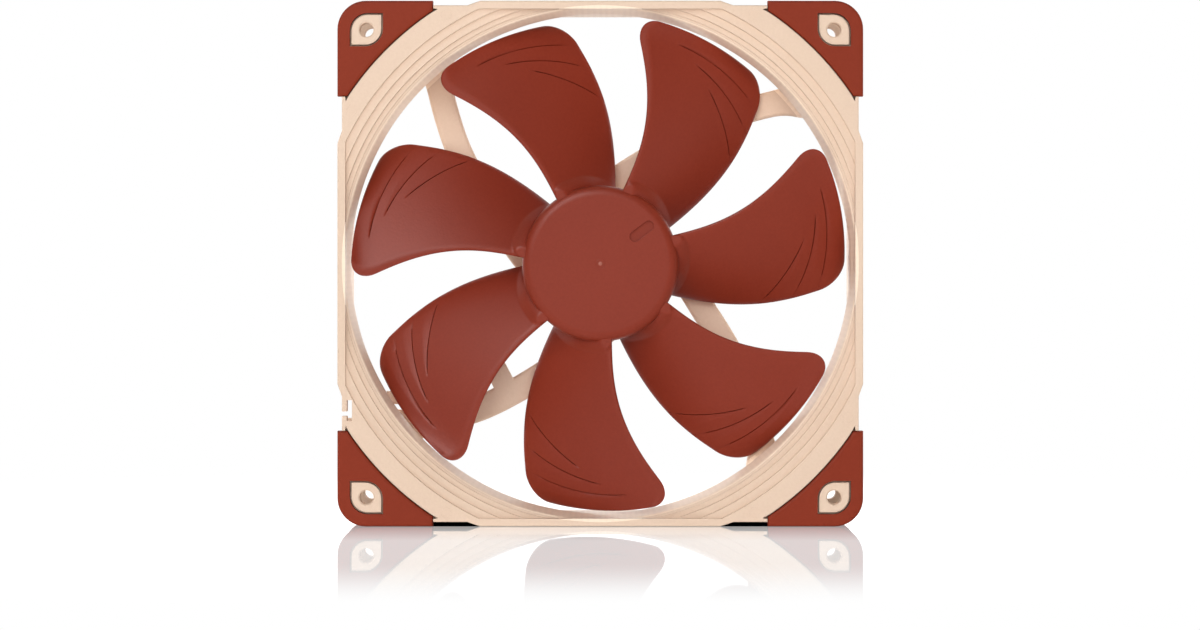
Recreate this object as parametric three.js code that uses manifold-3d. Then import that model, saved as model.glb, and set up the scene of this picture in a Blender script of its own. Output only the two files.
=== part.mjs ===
// A 140 mm computer case fan: a square frame with a stepped inlet, eight soft corner pads,
// a seven-blade impeller, and the brushless motor and sleeve bearing that it hides.
//
// The part's frame: +Y is the spin axis and points to the exhaust side, +Z is up, and the
// origin lies on the spin axis at half the fan's depth. All sizes are in millimetres.

import * as THREE from "three";
import { mergeVertices } from "three/addons/utils/BufferGeometryUtils.js";
import { ParametricGeometry } from "three/addons/geometries/ParametricGeometry.js";
import Module from "manifold-3d";

const wasm = await Module();
wasm.setup();

// ---------------------------------------------------------------- driving dimensions

// Frame
const frameSize = 140;
const frameDepth = 25; // over the pads
const screwInset = 7.75; // each hole's distance from both sides: a 124.5 mm pattern
const screwHoleRadius = 2.15;
const flangeThickness = 4.2;
const cornerRadius = 7.2;
const sideInset = 1.2; // how far each side steps back beside the corners
const sideStraight = 64; // full-width stretch in the middle of each side
const sideChamfer = 3.4;
const ductWall = 2.4;

// Air path
const throatToSide = 2.8; // least wall between the throat and a side
const mouthFlare = 2.3;
const stepWidths = [1.2, 2.0, 2.45]; // the inlet's stairs, from the mouth outwards
const stepDrop = 1.0;
const bellmouthLength = 3.2;
const inletFlat = 2.1; // plain rim that is left along each side of the inlet
const outletFlare = 1.4;
const outletLength = 8;

// Corner pads
const inletBand = 5.25; // plain band between the stairs and a pad's arc
const padEndWidth = 3.1; // of a pad's narrow ends
const padProud = 0.4;
const padPlate = 2.0;
const padGap = 0.15;
const eyeSize = 8.0; // the frame's island round each screw hole
const eyeRound = 5.6;
const eyeGap = 0.3;
const lockNotchLength = 1.4;
const lockNotchWidth = 1.1;

// Impeller
const bladeCount = 7;
const tipClearance = 0.75;
const hubRadius = 20.85;
const hubFront = 1.2; // behind the pads' front faces
const rotorToBase = 0.8;
const hubWall = 1.65;
const hubCrown = 1.8;
const hubRounding = 1.5;
const bladeSpan = [0, 0.25, 0.5, 0.75, 1]; // from hub to tip, where the edges below are given
const leadingEdgeDegrees = [124.1, 122.2, 124.55, 128.85, 133.2];
const trailingEdgeDegrees = [80.0, 84.3, 88.8, 94.05, 99.4];
const leadingDepth = [3.2, 2.0]; // behind the pads' front faces, at root and tip
const trailingRootInset = 0.7; // of the trailing edge's root, from the hub's rear
const trailingTipGap = 1.8; // from the trailing edge's tip back to the struts
const bladeCamber = [0.25, 0.12];
const bladeThickness = [2.4, 1.4];
const leadingCornerRadius = 5.5;
const trailingCornerRadius = 8.2;
const pocketRadius = 14; // centre of the obround pocket in the hub's face
const pocketDegrees = 38;
const pocketLength = 7.2;
const pocketWidth = 2.5;
const pocketDepth = 0.5;

// Struts and motor base
const strutWidth = 6.4;
const strutThickness = 2.7;
const strutStartDegrees = 131.5;
const strutBendRadius = 136;
const strutAxisGap = 14.6; // how near the axis each strut's line would pass
const strutFlare = 1.3;
const strutFlareLength = 5;
const cableRailWidth = 3.6;
const cableSlotWidth = 3.1;
const cableRailLength = 25.6;
const cableBridgeWidth = 5.5;
const cableChannelWidth = 4.2;
const cableChannelDepth = 1.6;
const cableNotchToPad = 5.5; // from the notch's middle to the pad beside it
const cableNotchLength = 5.5;
const cableNotchWidth = 1.8;
const cableNotchInset = 2.1;
const cableMouth = 1.3;
const baseOverHub = 0.15; // how much wider the base is than the hub
const baseRimHeight = 5.5;
const baseRimWall = 1.5;
const basePlate = 1.6;
const baseSetBack = 0.1; // below the frame's rear face

// Motor and bearing
const pressGap = 0.1; // between pieces that are pressed or glued together
const shaftRadius = 1.5;
const bearingClearance = 0.03;
const insertRadius = 3.6;
const insertLength = 3.25;
const hubCollarWall = 1.7;
const collarWall = 1.0; // the base's collar, which carries the stator
const yokeWall = 1.0;
const magnetWall = 1.7;
const magnetToYoke = 1.4;
const airGap = 0.45;
const coreHubWall = 2.0;
const poleCount = 4;
const toothWidth = 4.5;
const shoeThickness = 2.1;
const shoeHalfDegrees = 38;
const insulatorThickness = 1.2;
const insulatorMargin = 0.8;
const coilWall = 1.3;
const coilGap = 0.3; // between a coil's corners and the shoe behind it
const coilToHub = 0.55;
const coilToYoke = 2.3;
const coilToBoard = 1.3;
const tubeWall = 1.2;
const tubeRadius = 4.5;
const tubeToInsert = 0.75;
const tubeEndInset = 0.6; // of the tube's rear end, below the base's rear face
const sleeveToClip = 0.8;
const sealThickness = 0.8;
const clipThickness = 0.4;
const clipRadius = 2.6;
const clipInset = 0.8; // from the shaft's rear end to the clip
const thrustPadThickness = 0.8;
const axialMagnetThickness = 0.9;
const endCapThickness = 0.6;
const boardThickness = 1.2;
const boardRimGap = 0.5;
const boardBaseGap = 1.8;
const labelThickness = 0.2;
const labelMargin = 2.4;

// Facets round a full turn
const smallFacets = 24;
const hubFacets = 40;
const ductFacets = 64;

// ---------------------------------------------------------------- worked-out places

const half = frameSize / 2;
const padFront = -frameDepth / 2;
const frameFront = padFront + padProud;
const frameRear = -frameFront;
const holeOffset = half - screwInset;
const insetHalf = half - sideInset;

const throatRadius = half - throatToSide;
const mouthRadius = throatRadius + mouthFlare;
const outletRadius = throatRadius + outletFlare;
const tipRadius = throatRadius - tipClearance;
const stepRadii = [];
stepWidths.reduce((radius, width) => {
  stepRadii.unshift(radius + width);
  return radius + width;
}, mouthRadius);
const padArcRadius = stepRadii[0] + inletBand;
const padEndStart = half - padEndWidth;
const padEnd = Math.sqrt(padArcRadius ** 2 - padEndStart ** 2);

const baseRadius = hubRadius + baseOverHub;
const baseRearY = frameRear - baseSetBack;
const baseInnerY = baseRearY - basePlate;
const baseFrontY = baseRearY - baseRimHeight;
const strutFrontY = frameRear - strutThickness;
const boardRearY = baseInnerY - boardBaseGap;
const boardFrontY = boardRearY - boardThickness;
const boardRadius = baseRadius - baseRimWall - boardRimGap;

const hubFaceY = padFront + hubFront;
const hubInnerY = hubFaceY + hubCrown;
const hubRearY = baseFrontY - rotorToBase;
const hubCollarRadius = insertRadius + pressGap + hubCollarWall;
const insertRearY = hubInnerY + insertLength;
const yokeRadius = hubRadius - hubWall - pressGap;
const yokeFrontY = hubInnerY + pressGap;
const magnetRadius = yokeRadius - yokeWall - pressGap;
const magnetFrontY = yokeFrontY + yokeWall + magnetToYoke;
const magnetRearY = hubRearY - 0.7;

const tubeBore = tubeRadius - tubeWall;
const tubeFit = tubeBore - pressGap;
const tubeRearY = baseRearY - tubeEndInset;
const tubeFrontY = insertRearY + tubeToInsert;
const endCapFrontY = tubeRearY - endCapThickness;
const axialMagnetFrontY = endCapFrontY - pressGap - axialMagnetThickness;
const thrustPadFrontY = axialMagnetFrontY - pressGap - thrustPadThickness;
const shaftFrontY = hubInnerY + 0.2;
const shaftRearY = thrustPadFrontY - pressGap;
const clipFrontY = shaftRearY - clipInset - clipThickness;
const sealFrontY = tubeFrontY + 0.2;
const sleeveFrontY = sealFrontY + sealThickness + 0.2;
const sleeveRearY = clipFrontY - sleeveToClip;

const collarBore = tubeRadius + pressGap;
const collarRadius = collarBore + collarWall;
const coreHub = collarBore + coreHubWall;
const coreRadius = magnetRadius - magnetWall - airGap;
const shoeInner = coreRadius - shoeThickness;
const coilFrontY = yokeFrontY + yokeWall + coilToYoke;
const coilRearY = boardFrontY - coilToBoard;
const windingHeight = coilWall + 0.1 + insulatorThickness;
const coreFrontY = coilFrontY + windingHeight;
const coreRearY = coilRearY - windingHeight;

// ---------------------------------------------------------------- geometry helpers

const radians = THREE.MathUtils.degToRad;

function solidOf(geometry) {
  const bare = new THREE.BufferGeometry();
  bare.setAttribute("position", geometry.getAttribute("position"));
  if (geometry.index) bare.setIndex(geometry.index);
  const merged = mergeVertices(bare, 1e-4);
  return new wasm.Manifold(
    new wasm.Mesh({
      numProp: 3,
      vertProperties: merged.getAttribute("position").array,
      triVerts: new Uint32Array(merged.index.array),
    }),
  );
}

function geometryOf(solid) {
  const { vertProperties, triVerts } = solid.getMesh();
  const geometry = new THREE.BufferGeometry();
  geometry.setAttribute("position", new THREE.BufferAttribute(vertProperties, 3));
  geometry.setIndex(new THREE.BufferAttribute(triVerts, 1));
  geometry.computeVertexNormals();
  return geometry;
}

// A flat shape drawn as seen from the front (x, z), from y = front to y = rear.
function plate(shape, front, rear, curveSegments = 3) {
  const options = { depth: rear - front, bevelEnabled: false, curveSegments };
  const geometry = new THREE.ExtrudeGeometry(shape, options);
  geometry.rotateX(Math.PI / 2);
  geometry.translate(0, rear, 0);
  return geometry;
}

// A turned solid about the spin axis. The profile runs (radius, y) anticlockwise.
function turned(profile, segments = smallFacets) {
  const points = profile.map(([radius, y]) => new THREE.Vector2(radius, y));
  return new THREE.LatheGeometry(points, segments);
}

function disc(radius, front, rear, segments = smallFacets) {
  return turned([[0, front], [radius, front], [radius, rear], [0, rear]], segments);
}

function ring(inner, outer, front, rear, segments = smallFacets) {
  const profile = [[inner, front], [outer, front], [outer, rear], [inner, rear], [inner, front]];
  return turned(profile, segments);
}

function box(width, depth, height, x, y, z) {
  return new THREE.BoxGeometry(width, depth, height).translate(x, y, z);
}

function turnAboutAxis(geometry, degrees) {
  return geometry.clone().rotateY(-radians(degrees));
}

function shapeOf(points) {
  return new THREE.Shape(points.map(([x, z]) => new THREE.Vector2(x, z)));
}

function polar(radius, degrees) {
  return [radius * Math.cos(radians(degrees)), radius * Math.sin(radians(degrees))];
}

function joined(first, ...others) {
  return others.reduce((sum, other) => sum.add(other), first);
}

function cutFrom(first, ...others) {
  return others.reduce((left, other) => left.subtract(other), first);
}

// ---------------------------------------------------------------- the group and its materials

const fan = new THREE.Group();

const finishes = {
  framePlastic: { color: 0xebd1b9, roughness: 0.55, metalness: 0 },
  impellerPlastic: { color: 0x8d4133, roughness: 0.5, metalness: 0 },
  padSilicone: { color: 0x8a3a28, roughness: 0.75, metalness: 0 },
  steel: { color: 0xb4b6b8, roughness: 0.3, metalness: 1 },
  brass: { color: 0xc9a35a, roughness: 0.3, metalness: 1 },
  sinteredBronze: { color: 0x8c6f4a, roughness: 0.6, metalness: 1 },
  ferrite: { color: 0x3a3a3d, roughness: 0.7, metalness: 0.2 },
  lamination: { color: 0x8f9194, roughness: 0.45, metalness: 1 },
  copper: { color: 0xb5653a, roughness: 0.35, metalness: 1 },
  insulator: { color: 0xf1efe8, roughness: 0.5, metalness: 0 },
  circuitBoard: { color: 0x1e5b36, roughness: 0.45, metalness: 0 },
  chipBlack: { color: 0x1b1b1d, roughness: 0.5, metalness: 0 },
  ceramic: { color: 0xb49a72, roughness: 0.5, metalness: 0 },
  nylon: { color: 0xe8e6df, roughness: 0.5, metalness: 0 },
  label: { color: 0xd8cfc2, roughness: 0.4, metalness: 0 },
};

function addPart(name, geometry, finish) {
  const mesh = new THREE.Mesh(geometry, new THREE.MeshStandardMaterial(finishes[finish]));
  mesh.name = name;
  fan.add(mesh);
  return mesh;
}

// ---------------------------------------------------------------- corner outlines

// The frame's outline: each side is full width in the middle and steps back beside the corners.
function frameOutline() {
  const shape = new THREE.Shape();
  const innerCorner = cornerRadius - sideInset;
  const cornerCentre = insetHalf - innerCorner;
  const chamferStart = sideStraight / 2;
  const chamferEnd = chamferStart + sideChamfer;
  const side = [
    [insetHalf, -cornerCentre],
    [insetHalf, -chamferEnd],
    [half, -chamferStart],
    [half, chamferStart],
    [insetHalf, chamferEnd],
    [insetHalf, cornerCentre],
  ];
  for (let quarter = 0; quarter < 4; quarter++) {
    const turn = (quarter * Math.PI) / 2;
    const [c, s] = [Math.cos(turn), Math.sin(turn)];
    const at = ([x, z]) => [x * c - z * s, x * s + z * c];
    side.forEach((point, index) => {
      if (quarter + index === 0) shape.moveTo(...at(point));
      else shape.lineTo(...at(point));
    });
    const centre = at([cornerCentre, cornerCentre]);
    shape.absarc(...centre, innerCorner, turn, turn + Math.PI / 2);
  }
  return shape;
}

// The corner region outside an arc about the spin axis, out to a rounded square corner.
function cornerShape(arcRadius, outer, rounding, legEnd) {
  const shape = new THREE.Shape();
  const arcEnd = Math.sqrt(arcRadius * arcRadius - legEnd * legEnd);
  const arcAngle = Math.atan2(legEnd, arcEnd);
  shape.moveTo(arcEnd, legEnd);
  shape.lineTo(outer, legEnd);
  shape.lineTo(outer, outer - rounding);
  shape.absarc(outer - rounding, outer - rounding, rounding, 0, Math.PI / 2);
  shape.lineTo(legEnd, outer);
  shape.lineTo(legEnd, arcEnd);
  shape.absarc(0, 0, arcRadius, Math.PI / 2 - arcAngle, arcAngle, true);
  return shape;
}

// The eye: a square with its two corners on the diagonal rounded and the other two sharp.
function eyeShape(size, rounding) {
  const shape = new THREE.Shape();
  const low = holeOffset - size / 2;
  const high = holeOffset + size / 2;
  shape.moveTo(high, low);
  shape.lineTo(high, high - rounding);
  shape.absarc(high - rounding, high - rounding, rounding, 0, Math.PI / 2);
  shape.lineTo(low, high);
  shape.lineTo(low, low + rounding);
  shape.absarc(low + rounding, low + rounding, rounding, Math.PI, 1.5 * Math.PI);
  return shape;
}

// ---------------------------------------------------------------- frame

function airPath() {
  const past = 1;
  const steps = [];
  stepRadii.forEach((radius, index) => {
    const top = frameFront + index * stepDrop;
    steps.push([radius, index ? top : frameFront - past], [radius, top + stepDrop]);
  });
  const mouthY = frameFront + stepRadii.length * stepDrop;
  const bellmouth = [];
  const bellSteps = 3;
  for (let i = 0; i <= bellSteps; i++) {
    const angle = (i / bellSteps) * (Math.PI / 2);
    const radius = mouthRadius - (mouthRadius - throatRadius) * Math.sin(angle);
    bellmouth.push([radius, mouthY + bellmouthLength * (1 - Math.cos(angle))]);
  }
  const inlet = [...steps, ...bellmouth, [0, mouthY + bellmouthLength]];
  const inletSolid = solidOf(turned([[0, frameFront - past], ...inlet], ductFacets));
  const inletSpan = 2 * (half - inletFlat);
  const inletClip = solidOf(box(inletSpan, frameDepth, inletSpan, 0, 0, 0));
  const outletStart = frameRear - outletLength;
  const outletProfile = [
    [0, outletStart],
    [throatRadius, outletStart],
    [outletRadius, frameRear],
    [outletRadius, frameRear + past],
    [0, frameRear + past],
  ];
  const outletSpan = 2 * throatRadius;
  const outletClip = solidOf(box(outletSpan, frameDepth, outletSpan, 0, frameRear, 0));
  const outlet = solidOf(turned(outletProfile, ductFacets)).intersect(outletClip);
  const throat = solidOf(disc(throatRadius, frameFront - past, frameRear + past, ductFacets));
  return joined(throat, inletSolid.intersect(inletClip), outlet);
}

// One strut's centre line: an arc that leaves the duct and runs into the base beside the axis.
const strutStartRadius = throatRadius + ductWall / 2;
const strutCentreRadius = strutBendRadius - strutAxisGap;

// The angle, seen from the arc's centre, between the axis and the line's point at a radius.
function strutAngleAt(radius) {
  const sides = strutBendRadius ** 2 + strutCentreRadius ** 2 - radius ** 2;
  return Math.acos(sides / (2 * strutBendRadius * strutCentreRadius));
}

const strutCentreAngle =
  radians(strutStartDegrees) -
  Math.acos(
    (strutStartRadius ** 2 + strutCentreRadius ** 2 - strutBendRadius ** 2) /
      (2 * strutStartRadius * strutCentreRadius),
  );
const strutStartAngle = strutCentreAngle + Math.PI - strutAngleAt(strutStartRadius);
const strutReach = baseRadius - strutWidth / 2 - 0.8;
const strutLength =
  strutBendRadius * (strutAngleAt(strutStartRadius) - strutAngleAt(strutReach));

function strutLine(distance) {
  const angle = strutStartAngle + distance / strutBendRadius;
  const x = strutCentreRadius * Math.cos(strutCentreAngle) + strutBendRadius * Math.cos(angle);
  const z = strutCentreRadius * Math.sin(strutCentreAngle) + strutBendRadius * Math.sin(angle);
  return { x, z, heading: angle + Math.PI / 2 };
}

// A band that follows the strut's line at an offset to its right, between two distances.
function strutBand(from, to, offset, widthAt) {
  const steps = 10;
  const left = [];
  const right = [];
  for (let i = 0; i <= steps; i++) {
    const distance = from + ((to - from) * i) / steps;
    const { x, z, heading } = strutLine(distance);
    const across = widthAt(distance) / 2;
    const [nx, nz] = [Math.sin(heading), -Math.cos(heading)];
    left.push([x + nx * (offset - across), z + nz * (offset - across)]);
    right.push([x + nx * (offset + across), z + nz * (offset + across)]);
  }
  return shapeOf([...left, ...right.reverse()]);
}

function flaredWidth(distance) {
  const nearness = Math.max(0, 1 - distance / strutFlareLength);
  return strutWidth + 2 * strutFlare * nearness * nearness;
}

function plainStrut() {
  return solidOf(plate(strutBand(0, strutLength, 0, flaredWidth), strutFrontY, baseRearY));
}

// The cable's strut: the plain band, a parallel rail that holds the cable, and their bridge.
function cableStrut() {
  const railOffset = -(strutWidth / 2 + cableSlotWidth + cableRailWidth / 2);
  const rail = strutBand(0, cableRailLength, railOffset, () => cableRailWidth);
  const railInner = railOffset - cableRailWidth / 2;
  const bridgeSpan = -railInner;
  const bridge = strutBand(
    cableRailLength - 0.5,
    cableRailLength + cableBridgeWidth,
    -bridgeSpan / 2,
    (distance) => bridgeSpan * (1 - 0.35 * (distance - cableRailLength) / cableBridgeWidth),
  );
  const railSolid = solidOf(plate(rail, strutFrontY, baseRearY));
  const bridgeSolid = solidOf(plate(bridge, strutFrontY, baseRearY));
  return joined(plainStrut(), railSolid, bridgeSolid);
}

function cableChannel() {
  const floor = frameRear - cableChannelDepth;
  const start = -ductWall;
  const band = strutBand(start, strutLength - 8, 0, () => cableChannelWidth);
  return solidOf(plate(band, floor, frameRear + 1));
}

const cableQuarter = 90; // the cable's strut is the first strut turned by this much

function motorBase() {
  const rim = ring(baseRadius - baseRimWall, baseRadius, baseFrontY, baseRearY, hubFacets);
  const floor = disc(baseRadius, baseInnerY, baseRearY, hubFacets);
  const collarFront = coreRearY + insulatorThickness + 0.2;
  const collar = disc(collarRadius, collarFront, baseRearY);
  return joined(solidOf(rim), solidOf(floor), solidOf(collar));
}

function labelRadius() {
  return baseRadius - labelMargin;
}

function cornerCuts() {
  const recessDepth = padPlate - padProud;
  const legEnd = padEnd - padGap;
  const recess = cornerShape(padArcRadius - padGap, half + 1, cornerRadius, legEnd);
  recess.holes.push(eyeShape(eyeSize, eyeRound));
  const arcEnd = Math.sqrt((padArcRadius - padGap) ** 2 - legEnd ** 2);
  const notchTip = legEnd - lockNotchLength;
  const notch = shapeOf([
    [arcEnd - 0.1, legEnd + 0.3],
    [arcEnd + lockNotchWidth, legEnd + 0.3],
    [arcEnd + lockNotchWidth * 0.8, notchTip],
  ]);
  const notchMirror = shapeOf([
    [legEnd + 0.3, arcEnd - 0.1],
    [notchTip, arcEnd + lockNotchWidth * 0.8],
    [legEnd + 0.3, arcEnd + lockNotchWidth],
  ]);
  const frontCuts = joined(
    solidOf(plate(recess, frameFront - 1, frameFront + recessDepth)),
    solidOf(plate(notch, frameFront - 1, frameFront + flangeThickness - 0.8)),
    solidOf(plate(notchMirror, frameFront - 1, frameFront + flangeThickness - 0.8)),
  );
  const screw = disc(screwHoleRadius, -frameDepth, frameDepth, 24);
  screw.translate(holeOffset, 0, holeOffset);
  return joined(frontCuts, frontCuts.mirror([0, 1, 0]), solidOf(screw));
}

// The cable leaves through a keyhole in the front flange and an open notch in the rear one.
function cableExit() {
  const cableNotchHeight = -padEnd + cableNotchToPad;
  const innerX = -half + cableNotchInset + cableNotchWidth;
  const slot = box(
    cableNotchWidth,
    flangeThickness + 2,
    cableNotchLength,
    innerX - cableNotchWidth / 2,
    frameFront + flangeThickness / 2,
    cableNotchHeight,
  );
  const mouth = box(
    cableNotchInset + 2,
    flangeThickness + 2,
    cableMouth,
    -half + cableNotchInset / 2,
    frameFront + flangeThickness / 2,
    cableNotchHeight - cableNotchLength / 6,
  );
  const openWidth = cableNotchInset + cableNotchWidth + 1;
  const open = box(
    openWidth + 2,
    flangeThickness + 2,
    cableNotchLength + 0.5,
    -half - 1 + openWidth / 2,
    frameRear - flangeThickness / 2,
    cableNotchHeight,
  );
  return joined(solidOf(slot), solidOf(mouth), solidOf(open));
}

function frameSolid() {
  const outline = frameOutline();
  const front = solidOf(plate(outline, frameFront, frameFront + flangeThickness));
  const rear = solidOf(plate(outline, frameRear - flangeThickness, frameRear));
  const duct = solidOf(disc(throatRadius + ductWall, frameFront + 0.5, frameRear - 0.5, ductFacets));
  let shell = cutFrom(joined(front, rear, duct), airPath());
  const strut = plainStrut();
  const baseInside = baseRadius - baseRimWall;
  const cavity = solidOf(disc(baseInside, strutFrontY - 1, baseInnerY, hubFacets));
  for (let quarter = 0; quarter < 4; quarter++) {
    const piece = quarter * 90 === cableQuarter ? cableStrut() : strut;
    shell = shell.add(piece.rotate([0, -90 * quarter, 0]).subtract(cavity));
  }
  shell = shell.add(motorBase());
  const corner = cornerCuts();
  for (let quarter = 0; quarter < 4; quarter++) {
    shell = shell.subtract(corner.rotate([0, -90 * quarter, 0]));
  }
  const tubeHole = disc(collarBore, -frameDepth, frameDepth);
  const labelRecess = disc(labelRadius() + 0.2, baseRearY - 0.35, frameRear + 1, hubFacets);
  return cutFrom(
    shell,
    solidOf(tubeHole),
    solidOf(labelRecess),
    cableChannel().rotate([0, -cableQuarter, 0]),
    cableExit(),
  );
}

addPart("frame", geometryOf(frameSolid()), "framePlastic");

// ---------------------------------------------------------------- corner pads

// A pad: a plate over the flange's corner, a skirt round its outer edges, and the eye's window.
function padSolid() {
  const rear = padFront + padPlate;
  const skirtRear = frameFront + flangeThickness;
  const outline = cornerShape(padArcRadius, half, cornerRadius, padEnd);
  const skirtInner = half - sideInset + padGap;
  const skirtInside = cornerShape(
    padArcRadius - 6,
    skirtInner,
    cornerRadius - sideInset + padGap,
    padEnd - 6,
  );
  const window = eyeShape(eyeSize + 2 * eyeGap, eyeRound + eyeGap);
  const body = solidOf(plate(outline, padFront, skirtRear));
  const hollow = solidOf(plate(skirtInside, rear, skirtRear + 1));
  return cutFrom(body, hollow, solidOf(plate(window, padFront - 1, rear + 1)));
}

const cornerNames = ["top_right", "top_left", "bottom_left", "bottom_right"];
const pad = padSolid();
cornerNames.forEach((corner, quarter) => {
  const front = pad.rotate([0, -90 * quarter, 0]);
  addPart(`front_pad_${corner}`, geometryOf(front), "padSilicone");
  addPart(`rear_pad_${corner}`, geometryOf(front.mirror([0, 1, 0])), "padSilicone");
});

// ---------------------------------------------------------------- impeller

function blend([root, tip], share) {
  return root + (tip - root) * share;
}

const leadingEdge = new THREE.CubicInterpolant(bladeSpan, leadingEdgeDegrees, 1);
const trailingEdge = new THREE.CubicInterpolant(bladeSpan, trailingEdgeDegrees, 1);
const trailingEdgeY = [hubRearY - trailingRootInset, strutFrontY - trailingTipGap];

// How far a rounded tip corner draws an edge in, at a radius, in millimetres.
function cornerInset(radius, rounding) {
  const into = Math.max(0, radius - (tipRadius - rounding)) / rounding;
  return rounding * (1 - Math.sqrt(Math.max(0, 1 - into * into)));
}

// A point on the blade: chord runs 0 to 1 from leading to trailing edge, side is -1 or 1.
function bladePoint(chord, radius, side, target) {
  const span = (radius - hubRadius) / (tipRadius - hubRadius);
  const share = THREE.MathUtils.clamp(span, 0, 1);
  const toDegrees = 180 / Math.PI / radius;
  const lead = leadingEdge.evaluate(share)[0] - cornerInset(radius, leadingCornerRadius) * toDegrees;
  const trail = trailingEdge.evaluate(share)[0] + cornerInset(radius, trailingCornerRadius) * toDegrees;
  const angle = radians(lead + (trail - lead) * chord);
  const camber = blend(bladeCamber, share);
  const rise = chord - camber * chord * (1 - chord);
  const lowest = padFront + blend(leadingDepth, share);
  const y = lowest + (blend(trailingEdgeY, share) - lowest) * rise;
  const toTip = Math.min(1, (tipRadius - radius) / 0.8);
  const tipFade = Math.sqrt(1 - (1 - toTip) ** 2);
  const thickness = blend(bladeThickness, share) * 2 * Math.sqrt(chord * (1 - chord)) * tipFade;
  target.set(
    radius * Math.cos(angle),
    y + (side * thickness) / 2,
    radius * Math.sin(angle),
  );
}

function bladeSolid() {
  const rootRadius = hubRadius - hubWall / 2;
  const chordSteps = 5;
  const spanSteps = 8;
  const surface = (u, v, target) => {
    const loop = u < 0.5 ? 2 * u : 2 - 2 * u;
    const chord = (1 - Math.cos(Math.PI * loop)) / 2;
    const ends = v < 1e-9 ? 0 : 1;
    const along = THREE.MathUtils.clamp((v * (spanSteps + 1) - 1) / spanSteps, 0, 1);
    const radius = rootRadius + (tipRadius - rootRadius) * Math.sin((along * Math.PI) / 2);
    bladePoint(chord, radius, (u < 0.5 ? -1 : 1) * ends, target);
  };
  return solidOf(new ParametricGeometry(surface, 2 * chordSteps, spanSteps + 1));
}

function hubSolid() {
  const bore = hubRadius - hubWall;
  const rounding = [];
  const roundSteps = 3;
  for (let i = 0; i <= roundSteps; i++) {
    const angle = (i / roundSteps) * (Math.PI / 2);
    rounding.push([
      hubRadius - hubRounding * (1 - Math.sin(angle)),
      hubFaceY + hubRounding * (1 - Math.cos(angle)),
    ]);
  }
  const insertBore = insertRadius + pressGap;
  const collarRear = insertRearY;
  const profile = [
    [0, hubFaceY],
    ...rounding,
    [hubRadius, hubRearY],
    [bore, hubRearY],
    [bore, hubInnerY],
    [hubCollarRadius, hubInnerY],
    [hubCollarRadius, collarRear],
    [insertBore, collarRear],
    [insertBore, hubInnerY],
    [0, hubInnerY],
  ];
  return solidOf(turned(profile, hubFacets));
}

function pocketSolid() {
  const straight = (pocketLength - pocketWidth) / 2;
  const shape = new THREE.Shape();
  shape.absarc(straight, 0, pocketWidth / 2, -Math.PI / 2, Math.PI / 2);
  shape.absarc(-straight, 0, pocketWidth / 2, Math.PI / 2, 1.5 * Math.PI);
  const pocket = plate(shape, hubFaceY - 1, hubFaceY + pocketDepth, 4);
  pocket.translate(pocketRadius, 0, 0);
  return solidOf(turnAboutAxis(pocket, pocketDegrees));
}

function impellerSolid() {
  let impeller = hubSolid();
  const blade = bladeSolid();
  for (let i = 0; i < bladeCount; i++) {
    impeller = impeller.add(blade.rotate([0, (-360 * i) / bladeCount, 0]));
  }
  const bore = hubRadius - hubWall;
  const inside = ring(hubCollarRadius, bore, hubInnerY, hubRearY + 9, hubFacets);
  return cutFrom(impeller, solidOf(inside), pocketSolid());
}

addPart("impeller", geometryOf(impellerSolid()), "impellerPlastic");

// ---------------------------------------------------------------- rotor: yoke, magnet, shaft

function yokeProfile() {
  const front = yokeFrontY;
  const rear = hubRearY - 0.3;
  const bore = yokeRadius - yokeWall;
  const eye = hubCollarRadius + pressGap;
  return [
    [eye, front],
    [yokeRadius, front],
    [yokeRadius, rear],
    [bore, rear],
    [bore, front + yokeWall],
    [eye, front + yokeWall],
    [eye, front],
  ];
}

addPart("rotor_yoke", turned(yokeProfile(), hubFacets), "steel");
addPart(
  "rotor_magnet",
  ring(magnetRadius - magnetWall, magnetRadius, magnetFrontY, magnetRearY, hubFacets),
  "ferrite",
);
addPart(
  "shaft_insert",
  ring(shaftRadius + 0.05, insertRadius, hubInnerY + 0.05, insertRearY),
  "brass",
);

function shaftProfile() {
  const neck = shaftRadius - 0.35;
  const chamfer = 0.3;
  return [
    [0, shaftFrontY],
    [shaftRadius, shaftFrontY],
    [shaftRadius, clipFrontY - 0.05],
    [neck, clipFrontY - 0.05],
    [neck, clipFrontY + clipThickness + 0.05],
    [shaftRadius, clipFrontY + clipThickness + 0.05],
    [shaftRadius, shaftRearY - chamfer],
    [shaftRadius - chamfer, shaftRearY],
    [0, shaftRearY],
  ];
}

addPart("shaft", turned(shaftProfile()), "steel");

// The split clip in the shaft's neck, which keeps the rotor from lifting out.
function clipSolid() {
  const whole = ring(shaftRadius - 0.3, clipRadius, clipFrontY, clipFrontY + clipThickness);
  const split = box(clipRadius * 2, frameDepth, 1.6, clipRadius, 0, 0);
  return cutFrom(solidOf(whole), solidOf(split));
}

addPart("shaft_clip", geometryOf(clipSolid()), "nylon");

// ---------------------------------------------------------------- bearing

addPart("bearing_tube", ring(tubeBore, tubeRadius, tubeFrontY, tubeRearY), "brass");
addPart(
  "oil_seal",
  ring(shaftRadius + 0.25, tubeFit, sealFrontY, sealFrontY + sealThickness),
  "nylon",
);
addPart(
  "bearing_sleeve",
  ring(shaftRadius + bearingClearance, tubeFit, sleeveFrontY, sleeveRearY),
  "sinteredBronze",
);
addPart("thrust_pad", disc(tubeFit, thrustPadFrontY, thrustPadFrontY + thrustPadThickness), "nylon");
addPart(
  "axial_magnet",
  disc(tubeFit, axialMagnetFrontY, axialMagnetFrontY + axialMagnetThickness),
  "ferrite",
);
addPart("bearing_end_cap", disc(tubeFit, endCapFrontY, tubeRearY), "brass");

// ---------------------------------------------------------------- stator

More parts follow.
